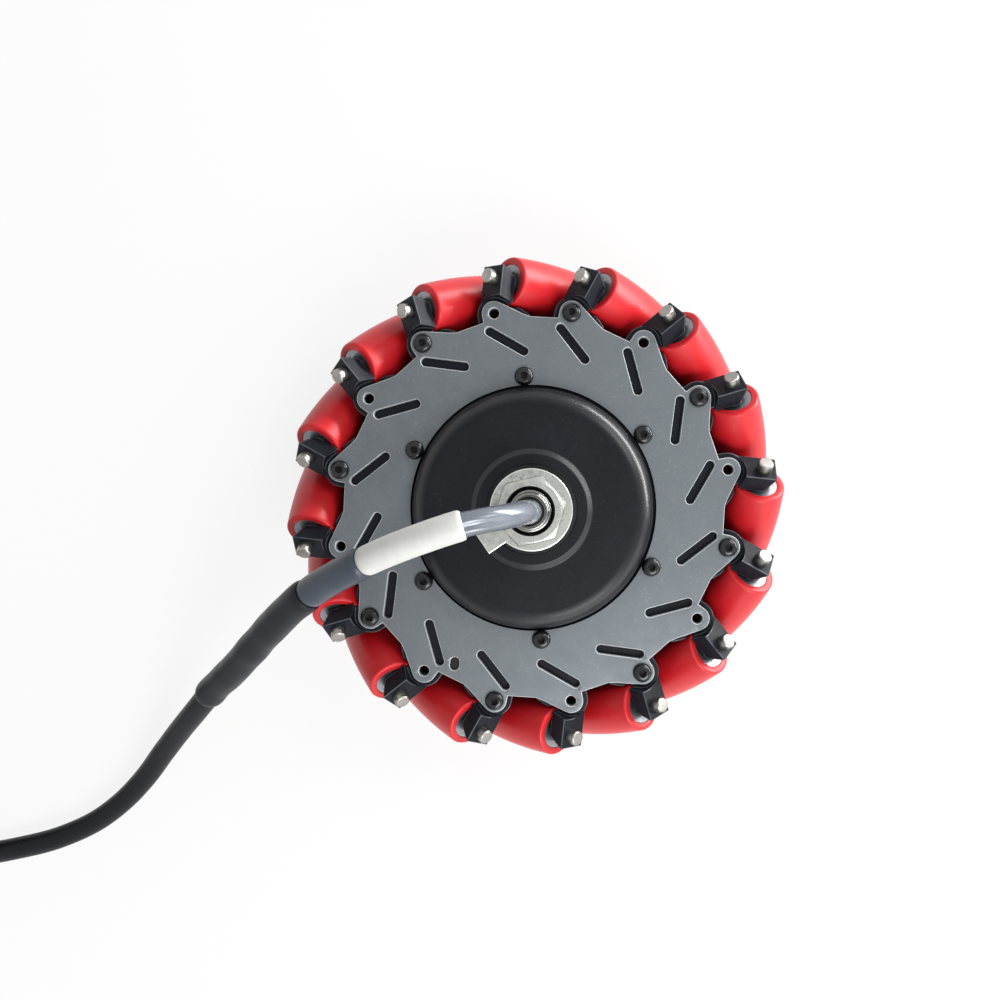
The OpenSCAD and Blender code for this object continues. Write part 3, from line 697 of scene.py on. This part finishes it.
def outlines(node: str, z: float) -> list[list[Vector]]:
    """Finds the closed outlines of a CAD node's flat faces at a height.

    Args:
        node: The CAD node.
        z: The height of the flat faces, in millimetres.

    Returns:
        The outlines in millimetres, with the material on the left of each.
    """
    level, near = 0.999, 0.02
    work = welded(node)
    flat = {
        f for f in work.faces
        if abs(f.normal.z) > level and abs(f.calc_center_median().z / MM - z) < near
    }
    following: dict[int, BMVert] = {}
    for face in flat:
        for loop in face.loops:
            if not any(other in flat for other in loop.edge.link_faces if other is not face):
                ends = (loop.vert, loop.link_loop_next.vert)
                start, end = ends if face.normal.z > 0 else ends[::-1]
                following[start.index] = end
                start.tag = True
    corners = {v.index: Vector((v.co.x / MM, v.co.y / MM)) for v in work.verts if v.tag}
    found = []
    while corners:
        at = next(iter(corners))
        outline = []
        while at in corners:
            outline.append(corners.pop(at))
            at = following[at].index
        found.append(outline)
    work.free()
    return found


def inset(outline: Sequence[Vector], depth: float) -> list[Vector]:
    """Moves an outline into the material on its left.

    Args:
        outline: The outline's corners.
        depth: How far it moves, in millimetres.

    Returns:
        The moved corners.
    """
    least = 0.35
    made = []
    for i, corner in enumerate(outline):
        back = (corner - outline[i - 1]).normalized()
        on = (outline[(i + 1) % len(outline)] - corner).normalized()
        left = Vector((-on.y, on.x))
        bisector = Vector((-back.y, back.x)) + left
        if bisector.length < NEAR:
            made.append(corner + depth * left)
            continue
        bisector.normalize()
        made.append(corner + bisector * (depth / max(bisector.dot(left), least)))
    return made


def blank(node: str, name: str, paints: Sequence[Finish], edge: float,
          shade_r: float = 0.0) -> Mesh:
    """A flat blank cut to a CAD node's outlines, with its edges broken.

    Args:
        node: The CAD node, whose two faces are level and alike.
        name: The mesh's name.
        paints: The finishes of the faces and of the cut edges, whose lighter finish is partly a
            painted highlight.
        edge: How far the broken edge reaches, in millimetres.
        shade_r: The radius from the axis inside which the cut edges wear a third finish, near black
            as painted shade in the gap round the cover.

    Returns:
        The mesh.
    """
    low, high = heights(node)
    steps = ((0, edge), (0.4 * edge, 0.3 * edge), (edge, 0))
    levels = [(low + up, depth) for up, depth in steps]
    levels += [(high - down, depth) for down, depth in reversed(steps)]
    work = bmesh.new()
    rims: tuple[list[BMEdge], list[BMEdge]] = ([], [])
    for outline in outlines(node, high):
        # Outlines near the axis, round the cover, get near-black cut edges as painted shade.
        cut = 2 if max(corner.length for corner in outline) < shade_r else 1
        rows = [
            [work.verts.new((c.x * MM, c.y * MM, z * MM)) for c in inset(outline, depth)]
            for z, depth in levels
        ]
        sides = [(j, (j + 1) % len(outline)) for j in range(len(outline))]
        for lower, upper in zip(rows, rows[1:]):
            for j, k in sides:
                work.faces.new((lower[j], lower[k], upper[k], upper[j])).material_index = cut
        for row, rim in zip((rows[0], rows[-1]), rims):
            rim += [work.edges.get((row[j], row[k])) for j, k in sides]
    for rim in rims:
        bmesh.ops.triangle_fill(work, edges=rim, use_beauty=True, use_dissolve=False)
    bmesh.ops.recalc_face_normals(work, faces=work.faces)
    return finished(work, bpy.data.meshes.new(name), paints)


def broken_edges(node: str, name: str, paints: Sequence[Finish], width: float, shortest: float,
                 smallest: float = 2.0, angle: float = 34, steps: int = 2) -> Mesh:
    """A CAD node's shape with its long sharp edges rounded over.

    Args:
        node: The CAD node.
        name: The mesh's name.
        paints: The finishes of the faces and of the rounded edges.
        width: How wide the rounding is, in millimetres.
        shortest: The shortest edge that is rounded, in millimetres.
        smallest: The smallest face beside such an edge, in square millimetres.
        angle: The least angle of such an edge, in degrees.
        steps: How many steps the rounding has.

    Returns:
        The mesh.
    """
    work = welded(node)
    flat = radians(0.5)
    bmesh.ops.dissolve_limit(work, angle_limit=flat, verts=work.verts, edges=work.edges)
    sharp = [
        e for e in work.edges
        if len(e.link_faces) == 2
        and e.calc_face_angle(0) > radians(angle)
        and e.calc_length() > shortest * MM
        and min(f.calc_area() for f in e.link_faces) > smallest * MM * MM
    ]
    bmesh.ops.bevel(work, geom=sharp, offset=width * MM, offset_type="OFFSET", segments=steps,
                    profile=0.6, affect="EDGES", clamp_overlap=False, material=1)
    return finished(work, bpy.data.meshes.new(name), paints)


# ---- the cable, which comes first after the camera

# The middle of the cable from the axle's mouth to the floor beside the wheel, in millimetres.
ROUTE = (
    (0, 0, 82), (0, 0, 93), (-2, 0, 101), (-7, -1, 108), (-14, -2, 113), (-23, -4, 115),
    (-35, -8, 114), (-48, -13, 111), (-61, -19, 106), (-74, -26, 98), (-86, -34, 90),
    (-98, -44, 80), (-110, -55, 69), (-122, -66, 58), (-134, -76, 48), (-146, -88, 38),
    (-158, -100, 28), (-170, -113, 19), (-182, -127, 12), (-195, -140, 8), (-210, -151, 6),
    (-228, -159, 6), (-247, -164, 6), (-264, -167, 6), (-279, -167, 6),
)


@dataclass
class MotorCable:
    """The motor's cable: a thin lead, its sleeves, the thick cable, its coil and its plug.

    Sizes are in millimetres and spans in points of the route. The coil's angles are in degrees
    past the place where the cable joins it; the cable climbs by one pitch after each rise.
    """

    lead_r: float = 4.35
    cable_r: float = 5.05
    sleeve_r: float = 5.45
    grey_r: float = 5.9
    black_r: float = 6.35
    length: float = 1106.0
    coil_centre: Pair = (-313.5, -116.5)
    coil_r: float = 50.5
    coil_end: int = 770
    coil_step: int = 10
    rises: tuple[int, int] = (300, 660)
    rise_length: int = 60
    run_in: float = 17.0
    run_out: float = 4.0
    end_turn: float = radians(50)
    low: float = 6.5
    pitch: float = 10.2
    change: float = 8.0
    sleeve_span: Pair = (4.83, 7.67)
    grey_span: Pair = (7.67, 9.5)
    black_span: Pair = (9.5, 14.33)
    steps: int = 6
    sides: int = 44
    groove: float = 0.2
    groove_half: float = 0.08
    groove_starts: int = 12
    tube_sides: int = 40
    clearance: float = 0.1
    ripples: Pair = (0.31, 0.47)
    lips: tuple[float, ...] = (0.6, 0.2, 0.05, 0.0)
    line: list[Vector] = field(default_factory=list)

    def heading(self) -> Vector:
        """The way that the cable's end points."""
        return Vector((-cos(self.end_turn), sin(self.end_turn), 0))

    def coil_place(self, angle: float) -> Vector:
        """Where the cable is on the coil.

        Args:
            angle: How far round the coil, in degrees.

        Returns:
            The place.
        """
        rises = [min(max((angle - start) / self.rise_length, 0), 1) for start in self.rises]
        z = self.low + sum(self.pitch * (3 * t * t - 2 * t**3) for t in rises)
        turn = radians(angle)
        x, y = self.coil_centre
        return Vector((x - self.coil_r * sin(turn), y - self.coil_r * cos(turn), z))

    def lay_line(self) -> None:
        """Works out the line down the middle of the cable."""
        first, *coil = map(self.coil_place, range(0, self.coil_end + 1, self.coil_step))
        ends = first + Vector((self.run_in, 0, 0)), coil[-1] + self.run_out * self.heading()
        points = [*map(Vector, ROUTE), ends[0], first, *coil, ends[1]]
        self.line = smooth_line(points, self.steps)

    def build(self) -> None:
        self.lay_line()
        change = round(self.change * self.steps)
        radii = [self.lead_r if i < change else self.cable_r for i in range(len(self.line))]
        shape = Shape().tube(self.line, radii, self.sides)
        self.press_groove(shape, change)
        shape.paints = [int(min(face) < 1 + self.sides * change) for face in shape.faces]
        mesh = shape.mesh("motor_cable_run", [Paint.cable, Paint.lead], 60)
        cable = put("motor_cable_run", mesh, AXLE, ["motor_cable", "cable_coil"],
                    even=False)
        pieces = [
            self.sleeve("white_sleeve_tube", "white_sleeve", Paint.sleeve, self.sleeve_span,
                        self.sleeve_r),
            self.sleeve("grey_shrink_tube", "grey_shrink", Paint.grey_shrink, self.grey_span,
                        self.grey_r, 0.06),
            self.sleeve("black_shrink_tube", "black_shrink", Paint.black_shrink, self.black_span,
                        self.black_r, 0.1),
            self.tie(),
            self.plug(),
        ]
        [p * MM for p in self.line]

    def press_groove(self, shape: Shape, rings: int) -> None:
        """Presses a shallow groove down the lead, where its two bundles of wires meet.

        Args:
            shape: The cable's shape.
            rings: How many of its rings belong to the lead.
        """
        for i in range(rings):
            middle = self.line[i]
            ahead = (self.line[i + 1] - self.line[max(i - 1, 0)]).normalized()
            fade = min(max(i / self.groove_starts - 1, 0.0), 1.0)
            side = Vector((0, -0.2, 0.98))
            side = (side - ahead * side.dot(ahead)).normalized()
            for n in range(1 + self.sides * i, 1 + self.sides * (i + 1)):
                out = shape.corners[n] - middle
                past = out.normalized().dot(side) - (1 - self.groove_half)
                share = fade * max(0.0, past / self.groove_half)
                shape.corners[n] = middle + out * (1 - self.groove * share)

    def sleeve(self, name: str, node: str, paint: Finish, span: Pair,
               radius: float, wave: float = 0.0) -> Object:
        """A tube that is pushed or shrunk over the cable, with rounded lips and slight waves.

        Args:
            name: The piece's name.
            node: The CAD node that it replaces.
            paint: Its finish.
            span: The route's points between which it lies.
            radius: Its outer radius.
            wave: How far it swells and narrows along its length.

        Returns:
            The object.
        """
        start, end = (round(p * self.steps) for p in span)
        line = smooth_line(self.line[start : end + 1], 3)
        long, short = self.ripples
        radii = []
        for i in range(len(line)):
            lip = min(i, len(line) - 1 - i, len(self.lips) - 1)
            swell = wave * sin(i * long + radius) + wave * 0.5 * sin(i * short)
            radii.append(radius - self.clearance + swell - self.lips[lip])
        mesh = Shape().tube(line, radii, self.tube_sides).mesh(name, [paint], 50)
        return put(name, mesh, AXLE, [node], even=False)

    def tie(self) -> Object:
        """The strap round the coil's turns.

        Returns:
            The object.
        """
        low, high = (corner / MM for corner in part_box("cable_tie"))
        x, y = self.coil_centre
        middle = Vector((x, y + self.coil_r, (low.z + high.z) / 2))
        half = [(high[n] - low[n]) / 2 - 0.5 for n in (1, 2)]
        # The strap's section, as the places along the coil's turns and outwards.
        section = ((-2.7, -0.35), (2.7, -0.35), (2.9, 0), (2.7, 0.35), (-2.7, 0.35), (-2.9, 0))
        count, corner = 48, 4.6
        rings = []
        for angle in angles(count):
            away = polar(1, angle, 0).xy
            share = 1 / max(abs(away.x), abs(away.y))
            flat = Vector([away[n] * share * half[n] for n in (0, 1)])
            core = Vector([max(corner - half[n], min(half[n] - corner, flat[n])) for n in (0, 1)])
            out = (flat - core).normalized() if (flat - core).length > NEAR else away
            rim = core + out * corner
            rings.append([
                middle + Vector((along, rim.x + out.x * up, rim.y + out.y * up))
                for along, up in section
            ])
        mesh = Shape().skin(rings, closed=True).mesh("coil_tie_strap", [Paint.tie])
        return put("coil_tie_strap", mesh, AXLE, ["cable_tie"])

    def plug(self) -> Object:
        """The round plug at the cable's end: a ribbed nut, a grip and a mouth with six pins.

        Returns:
            The object.
        """
        start = self.line[-1] + 0.05 * self.heading()
        start.z = heights("cable_connector")[0] + 8
        place = facing(start, self.heading())
        body = [(0, 0.3), (5.2, 0.3), (6.6, 1.6), (6.6, 20), (6.6, 36), (6.6, 45.6), (5.7, 45.6),
                (5.7, 34.2), (0, 34.2)]
        shape = Shape().lathe(rounded(body, 0.6, 3), 64, place=place)
        # The rows of a ribbed ring's end: how far in, the radius and how high the ribs stand.
        end = ((0, 6.25, 0), (0, 7.05, 0.35), (0.5, 7.55, 0.35))
        for low, high, ribs in ((1.2, 13.8, 24), (20.2, 35.8, 36)):
            rows = [(low + up, r, h) for up, r, h in end]
            rows += [(high - down, r, h) for down, r, h in reversed(end)]
            shape.skin([
                [polar(r + h * (0.5 + 0.5 * cos(ribs * a)), a, z) for a in angles(ribs * 4)]
                for z, r, h in rows
            ], closed=True, place=place)
        for k in range(6):
            pin = place @ Matrix.Rotation(TURN * k / 6, 4, "Z") @ Matrix.Translation((3.2, 0, 34))
            profile = [(0, 0), (0.68, 0), (0.68, 10.0), (0.4, 10.8), (0, 11.0)]
            shape.lathe(profile, 16, paint=1, place=pin)
        mesh = shape.mesh("cable_plug", [Paint.plug, Paint.pin])
        return put("cable_plug", mesh, AXLE, ["cable_connector"])


# ---- rollers

@dataclass
class Rollers:
    """The sixteen barrel rollers and the axles that they turn on. Sizes in millimetres."""

    wheel_r: float = 101.5
    axis_r: float = 89.4
    half_len: float = 28.3
    core_r: float = 7.15
    corner: float = 1.2
    corner_depth: float = 1.05
    tilt: float = radians(45)
    pin_r: float = 3.0
    pin_half: float = 39.9
    pin_chamfer: float = 0.45
    stations: int = 28
    sides: int = 88
    rounds: int = 9

    def barrel_r(self, s: float) -> float:
        """The roller's radius at a station, so that all the rollers roll as one circle.

        Args:
            s: How far the station is from the middle, along the axle.

        Returns:
            The radius.
        """
        u = 0.0
        for _ in range(self.rounds):
            angle = atan(u / self.axis_r)
            reach = self.wheel_r - self.axis_r / cos(angle)
            u = (s - reach * sin(angle) * sin(self.tilt)) * sin(self.tilt)
        return reach * sqrt(1 - (sin(angle) * sin(self.tilt)) ** 2)

    def places(self) -> dict[str, Matrix]:
        """Where each roller's body stands, in metres, with Z along its axle."""
        return {
            joint["child"]: facing(joint["pos_m"], Vector(joint["axis"]))
            for joint in frame["joints"] if joint["child"].startswith("roller_")
        }

    def tread_mesh(self) -> Mesh:
        """One cast tread with rounded ends.

        Returns:
            The mesh.
        """
        straight = self.half_len - self.corner
        stations = [straight * (i / self.stations - 1) for i in range(2 * self.stations + 1)]
        side = [(self.barrel_r(s), s) for s in stations]
        end = [
            (side[-1][0] - self.corner_depth * (1 - cos(a)),
             straight + self.corner * sin(a)) for a in quarter(7)[1:]
        ]
        lip = ((0.35, 0), (0.1, 0.1), (0, 0.4))
        end += [(self.core_r + out, self.half_len - back) for out, back in lip]
        profile = [(r, -s) for r, s in reversed(end)] + side + end
        shape = Shape().lathe(profile, self.sides, closed=True)
        return shape.mesh("roller_tread", [Paint.tread], 40)

    def pins_mesh(self) -> Mesh:
        """All the roller axles, with their ends chamfered.

        Returns:
            The mesh.
        """
        end = [(0, self.pin_half), (self.pin_r - self.pin_chamfer, self.pin_half),
               (self.pin_r, self.pin_half - self.pin_chamfer)]
        half = rounded([*end, (self.pin_r, 0)], 0.14, 2)
        profile = half + [(r, -z) for r, z in reversed(half[:-1])]
        shape = Shape()
        for place in self.places().values():
            turned = place.to_3x3().to_4x4()
            shape.lathe(profile, 40, place=Matrix.Translation(place.translation / MM) @ turned)
        return shape.mesh("roller_axle_set", [Paint.pin])

    def build(self) -> None:
        """Makes the treads and the axles, and dresses the cores."""
        tread = self.tread_mesh()
        for body, place in self.places().items():
            number = body.removeprefix("roller_")
            put(f"cast_tread_{number}", tread, body, [f"tread_{number}"], place,
                even=False)
            dress({f"core_{number}": Paint.core})
        put("roller_axle_set", self.pins_mesh(), WHEEL, ["roller_axles"])


# ---- plates, lugs and screws

@dataclass
class ButtonScrews:
    """Button-head screws with hexagon sockets. Sizes in millimetres."""

    head_r: float = 3.78
    head_h: float = 2.2
    dome_from: float = 0.35
    top_r: float = 1.75
    shank_r: float = 1.98
    socket: float = 2.5
    socket_depth: float = 1.3
    sides: int = 48
    turn: float = 1.37

    def hexagon(self, across: float, z: float) -> list[Vector]:
        """A hexagon of a width across flats, with as many corners as the head's rings."""
        return [polar(hexagon_r(across, a + TURN / 12), a, z) for a in angles(self.sides)]

    def add(self, shape: Shape, place: Matrix, length: float) -> None:
        """Adds one screw to a shape.

        Args:
            shape: The shape.
            place: Where the underside of the head sits, with Z out of the head.
            length: The length under the head.
        """
        wide, high = self.head_r - self.top_r, self.head_h - self.dome_from
        outside = [
            (0, -length), (self.shank_r - 0.3, -length), (self.shank_r, 0.3 - length),
            (self.shank_r, 0), (self.head_r - 0.15, 0), (self.head_r, 0.12),
            *((self.top_r + wide * cos(a), self.dome_from + high * sin(a)) for a in quarter(8)),
        ]
        floor = self.head_h - self.socket_depth
        shape.skin([
            *(ring(r, z, self.sides) for r, z in outside),
            self.hexagon(self.socket + 0.35, self.head_h),
            self.hexagon(self.socket, self.head_h - 0.2),
            self.hexagon(self.socket, floor),
            [Vector((0, 0, floor - 0.3))],
        ], place=place)
        # The socket's rim, walls and floor wear the second finish, near black as painted shade.
        socket_faces = 3 * self.sides
        shape.paints[-socket_faces:] = [1] * socket_faces

    def build(self, node: str, name: str) -> None:
        """Makes all the screws of a CAD node as one piece.

        Args:
            node: The CAD node.
            name: The piece's name.
        """
        middle = frame["joints"][0]["pos_m"][2] / MM
        shape = Shape()
        for i, (low, high) in enumerate(islands(node)):
            x, y, z = (low + high) / 2
            if z > middle:
                place = Matrix.Translation((x, y, high.z - self.head_h))
            else:
                place = Matrix.Translation((x, y, low.z + self.head_h))
                place = place @ Matrix.Rotation(pi, 4, "X")
            turned = place @ Matrix.Rotation(i * self.turn, 4, "Z")
            self.add(shape, turned, high.z - low.z - self.head_h)
        put(name, shape.mesh(name, [Paint.screw, Paint.socket]), WHEEL, [node])


@dataclass
class Sides:
    """The two side plates, the lug rings under them and what screws them on. In millimetres."""

    plate_edge: float = 0.3
    # Inside this radius the plates' cut edges are painted near black as shade round the cover.
    shade_r: float = 50.0
    lug_edge: float = 0.35
    shortest_lug_edge: float = 1.2

    def build(self) -> None:
        """Makes the plates, the lug rings and the screws, and dresses the dowels."""
        # The third finish, the near-black casting, is painted shade on the plates' cut edges round
        # the cover.
        plate_paints = [Paint.plate, Paint.cut_edge_highlight, Paint.casting]
        lug_paints = [Paint.casting, Paint.casting_edge_highlight]
        for side in ("front", "rear"):
            name = f"{side}_side_plate"
            plate = blank(f"{side}_plate", name, plate_paints, self.plate_edge, self.shade_r)
            put(name, plate, WHEEL, [f"{side}_plate"])
            lugs = broken_edges(f"{side}_lug_ring", f"{side}_lugs", lug_paints, self.lug_edge,
                                self.shortest_lug_edge)
            put(f"{side}_lugs", lugs, WHEEL, [f"{side}_lug_ring"])
        dress({"clock_dowels": Paint.axle})
        for node in ("tab_screws", "motor_screws"):
            ButtonScrews().build(node, node.replace("screws", "screw_set"))


# ---- hub motor

@dataclass
class HubMotor:
    """The motor's covers, drum and what is sealed inside them. Sizes in millimetres."""

    cover_r: float = 47.6
    flange_r: float = 60.0
    shoulder: float = 7.5
    boss_r: float = 23.6
    boss_slope: float = 2.1
    boss_h: float = 1.5
    seal_r: float = 17.55
    wall: float = 4.0

    def shell(self, face: float, low: float, flange_z: float, middle: Profile) -> Profile:
        """A cover's closed profile.

        Args:
            face: The height of its flat face.
            low: The height of its flange's underside.
            flange_z: The height of its flange's upper side.
            middle: The profile of its middle, from inside out, up to the face.

        Returns:
            The profile.
        """
        inner_r, roof = self.cover_r - self.wall, face - self.wall
        return [
            *middle,
            *((self.cover_r - self.shoulder * (1 - sin(a)),
               face - self.shoulder * (1 - cos(a))) for a in quarter(14)),
            (self.cover_r, flange_z + 0.3), (self.cover_r + 0.3, flange_z),
            (self.flange_r, flange_z), (self.flange_r, low),
            (inner_r, low), (inner_r, roof - 3), (inner_r - 4, roof), (middle[0][0], roof),
        ]

    def build(self) -> None:
        """Makes the front cover and dresses the rest of the motor."""
        high = heights("front_cover")[1]
        face = high - self.boss_h
        boss = rounded([(self.seal_r, face - self.wall), (self.seal_r, high),
                        (self.boss_r - self.boss_slope, high), (self.boss_r, face),
                        (self.boss_r + 6, face)], 0.3, 3)
        low, flange_z = heights("motor_drum")[1] + 0.05, heights("front_plate")[0]
        shape = Shape().lathe(self.shell(face, low, flange_z, boss), 192, closed=True)
        mesh = shape.mesh("front_cover_shell", [Paint.cover])
        put("front_cover_shell", mesh, WHEEL, ["front_cover"])
        dress({
            "rear_cover": Paint.cover, "motor_drum": Paint.drum, "magnets": Paint.magnet,
            "motor_bearings": Paint.bearing, "shaft_seal": Paint.rubber,
            "stator_core": Paint.lamination, "windings": Paint.copper,
            "stator_carrier": Paint.carrier,
        })


# ---- axle end

@dataclass
class AxleEnd:
    """The hollow axle with its thread, nut and tongue washer. Sizes in millimetres."""

    nut_across: float = 24.0
    nut_turn: float = radians(17.3)
    nut_sides: int = 144
    nut_corner: float = 1.145
    face_inset: float = 0.6
    cone_inset: float = 0.55
    cone: float = radians(30)
    lower_edge: float = 0.15
    upper_edge: float = 0.35
    bore_r: float = 8.05
    lower_sink: float = 0.9
    countersink: float = 1.2
    thread_r: float = 7.92
    root_r: float = 6.95
    thread_pitch: float = 1.5
    thread_top: float = 0.6
    thread_back: float = 0.8
    runouts: tuple[int, int] = (12, 40)
    turns: int = 5
    per_turn: int = 64

    def flank(self, z: float, sign: int, shrink: float) -> list[Vector]:
        """A ring on the nut's six sides, under its chamfer's cone.

        Args:
            z: The height of the face that is chamfered.
            sign: 1 for the upper face and -1 for the lower one.
            shrink: How far the ring is drawn in.

        Returns:
            The corners.
        """
        half = self.nut_across / 2
        corners = []
        for angle in angles(self.nut_sides):
            side_r = hexagon_r(self.nut_across, angle - TURN / 4 + self.nut_turn)
            radius = min(side_r, half * self.nut_corner) - shrink
            drop = max(0.0, (radius - half + self.cone_inset) * tan(self.cone))
            corners.append(polar(radius, angle, z - sign * drop))
        return corners

    def nut_mesh(self) -> Mesh:
        """The hexagon nut with both faces chamfered and its bore countersunk.

        Returns:
            The mesh.
        """
        low, high = heights("axle_nut")
        face_r, sides = self.nut_across / 2 - self.face_inset, self.nut_sides
        shape = Shape().skin([
            ring(self.bore_r, low + self.lower_sink, sides),
            ring(self.bore_r + self.lower_sink, low, sides),
            ring(face_r, low, sides),
            self.flank(low, -1, self.lower_edge),
            self.flank(low + self.lower_edge, -1, 0),
            self.flank(high - self.upper_edge, 1, 0),
            self.flank(high, 1, self.upper_edge),
            ring(face_r, high, sides),
            ring(self.bore_r + self.countersink, high, sides),
            ring(self.bore_r, high - self.countersink, sides),
        ], closed=True)
        # The upper chamfer wears the lighter zinc, partly rubbed metal and partly a painted
        # highlight. The countersink and the bore wear the near-black axle finish as painted shade.
        for row, paint in ((5, 1), (8, 2), (9, 2)):
            shape.paints[row * sides : (row + 1) * sides] = [paint] * sides
        return shape.mesh("hexagon_nut", [Paint.zinc, Paint.zinc_edge_highlight, Paint.axle], 25)

    def thread_mesh(self) -> Mesh:
        """The axle's last turns of thread, fading out at the plain end.

        Returns:
            The mesh.
        """
        top = heights("axle_nut")[1] + self.thread_top
        count = self.turns * self.per_turn
        foot, half = self.root_r - 0.12, self.thread_pitch / 2 - 0.06
        rings = []
        for i in range(count + 1):
            z = top - self.thread_pitch * (self.turns - i / self.per_turn) - self.thread_back
            fade = min(1.0, i / self.runouts[0], (count - i) / self.runouts[1])
            crest = self.root_r - 0.1 + (self.thread_r - self.root_r + 0.1) * fade
            section = [(foot, z - half), (crest, z - 0.1), (crest, z + 0.1), (foot, z + half)]
            rings.append([polar(r, TURN * i / self.per_turn, h) for r, h in section])
        shape = Shape().skin(rings)
        last = len(shape.corners) - 4
        shape.faces += [(0, 1, 2, 3), (last, last + 1, last + 2, last + 3)]
        shape.paints += [0, 0]
        return shape.mesh("axle_thread", [Paint.axle], 30)

    def build(self) -> None:
        """Makes the nut, the washer, the thread and the axle, and dresses the grommet."""
        put("hexagon_nut", self.nut_mesh(), AXLE, ["axle_nut"])
        # The washer's cut edges wear the lighter zinc, partly a painted highlight.
        washer = blank("tongue_washer", "stamped_washer", [Paint.zinc, Paint.zinc_edge_highlight], 0.45)
        put("stamped_washer", washer, AXLE, ["tongue_washer"])
        put("axle_thread", self.thread_mesh(), AXLE, even=False)
        body = broken_edges("axle", "hollow_axle", [Paint.axle, Paint.axle_edge], width=0.85,
                            shortest=0.2, smallest=0.2, angle=50, steps=4)
        put("hollow_axle", body, AXLE, ["axle"])
        dress({"cable_grommet": Paint.rubber})


# ---- studio

@dataclass
class Studio:
    """The camera, the lamps, the floor and the sky. Distances in metres.

    A lamp is a name, a place, a width and height, and how light it makes a white surface that
    faces it. The floor glows by itself where it is seen, by floor_glow near the wheel, so that a
    shadow stays on it, and wholly from glow_span outwards.
    """

    distance: float = 0.370
    lean: float = radians(2.7)
    lens: float = 31.03
    shift: Pair = (-0.0348, 0.0063)
    clip: Pair = (0.01, 100)
    lamps: tuple[tuple[str, Triple, Pair, float], ...] = (
        ("key_lamp", (0.42, 0.34, 0.62), (0.26, 0.26), 0.28),
        ("strip_lamp", (0.70, 0.42, 0.17), (1.0, 0.12), 1.80),
        ("front_lamp", (0.22, -0.50, 0.72), (0.40, 0.40), 0.60),
        ("side_lamp", (0.42, -0.62, 0.34), (1.2, 0.55), 0.42),
    )
    sky: float = 0.27
    floor_half: float = 20
    floor_z: float = -0.0002
    floor_tones: Pair = (0.9, 0.86)
    floor_clouds: float = 0.15
    floor_glow: float = 0.82
    glow_span: Pair = (0.14, 0.7)

    def camera(self) -> None:
        """Adds the camera, which looks at the wheel's middle from almost straight above."""
        target = Vector(frame["joints"][0]["pos_m"])
        across = sin(self.lean) / sqrt(2)
        away = Vector((across, across, cos(self.lean)))
        data = bpy.data.cameras.new("camera")
        data.lens = self.lens
        data.shift_x, data.shift_y = self.shift
        data.clip_start, data.clip_end = self.clip
        camera = linked("camera", data)
        camera.location = target + away * self.distance
        right = Vector((0, 1, 0)).cross(away).normalized()
        up = away.cross(right)
        camera.rotation_euler = Matrix((right, up, away)).transposed().to_euler()
        bpy.context.scene.camera = camera

    def lamp(self, name: str, place: Triple, size: Pair,
             level: float) -> None:
        """Adds a soft lamp that shines at the wheel.

        Args:
            name: Its name.
            place: Where it hangs.
            size: Its width and height.
            level: How light it makes a white surface that faces it.
        """
        data = bpy.data.lights.new(name, "AREA")
        data.shape = "RECTANGLE"
        data.size, data.size_y = size
        where = Vector(place)
        data.energy = level * pi**2 * where.length_squared
        lamp = linked(name, data)
        lamp.location = where
        lamp.rotation_euler = where.to_track_quat("Z", "Y").to_euler()

    def seen(self, graph: ShaderGraph) -> Signal:
        """A mask that is 1 for what the camera sees, straight, in a gloss or through glass.

        Args:
            graph: The graph to draw in.

        Returns:
            The mask.
        """
        path = graph.node("ShaderNodeLightPath", output="Is Camera Ray")
        outputs = path.socket.node.outputs
        other = [Signal(graph, outputs[f"Is {kind} Ray"]) for kind in ("Glossy", "Transmission")]
        return (path + (other[0] + other[1])).clamped()

    def floor(self) -> None:
        """Adds the pale floor."""
        material = bpy.data.materials.new("pale_floor")
        graph = ShaderGraph(material)
        place = graph.node("ShaderNodeTexCoord", output="Object")
        clouds = graph.noise(place, self.floor_clouds)
        tone = graph.mixed(*map(grey, self.floor_tones), clouds)
        matt = graph.node("ShaderNodeBsdfPrincipled", {}, {"Base Color": tone, "Roughness": 0.8})
        bright = graph.node("ShaderNodeEmission", {}, {"Color": grey(1), "Strength": 1.0})
        away = graph.length(place).above(*self.glow_span)
        share = away * (1 - self.floor_glow) + self.floor_glow
        inputs = {0: self.seen(graph) * share, 1: matt, 2: bright}
        graph.surface("ShaderNodeOutputMaterial", graph.node("ShaderNodeMixShader", {}, inputs))
        work = bmesh.new()
        bmesh.ops.create_grid(work, x_segments=8, y_segments=8, size=self.floor_half)
        mesh = bpy.data.meshes.new("pale_floor")
        work.to_mesh(mesh)
        work.free()
        mesh.materials.append(material)
        floor = linked("pale_floor", mesh)
        floor.location.z = self.floor_z

    def world(self) -> None:
        """Sets the soft sky, which is white where the camera or a gloss sees it."""
        world = bpy.data.worlds.new("soft_sky")
        bpy.context.scene.world = world
        graph = ShaderGraph(world)
        soft, white = (
            graph.node("ShaderNodeBackground", {}, {"Color": grey(1), "Strength": strength})
            for strength in (self.sky, 1.0)
        )
        inputs = {0: self.seen(graph), 1: soft, 2: white}
        graph.surface("ShaderNodeOutputWorld", graph.node("ShaderNodeMixShader", {}, inputs))

    def light(self) -> None:
        """Sets the lamps, the floor, the sky and the view transform."""
        for lamp in self.lamps:
            self.lamp(*lamp)
        self.floor()
        self.world()
        bpy.context.scene.view_settings.view_transform = "Standard"


def main() -> None:
    """Builds the studio and every sub-assembly in order, and reports each piece."""
    logging.basicConfig(level=logging.INFO, format="%(name)s: %(message)s")
    studio = Studio()
    studio.camera()
    MotorCable().build()
    Rollers().build()
    Sides().build()
    HubMotor().build()
    AxleEnd().build()
    studio.light()


if __name__ == "__main__":
    main()
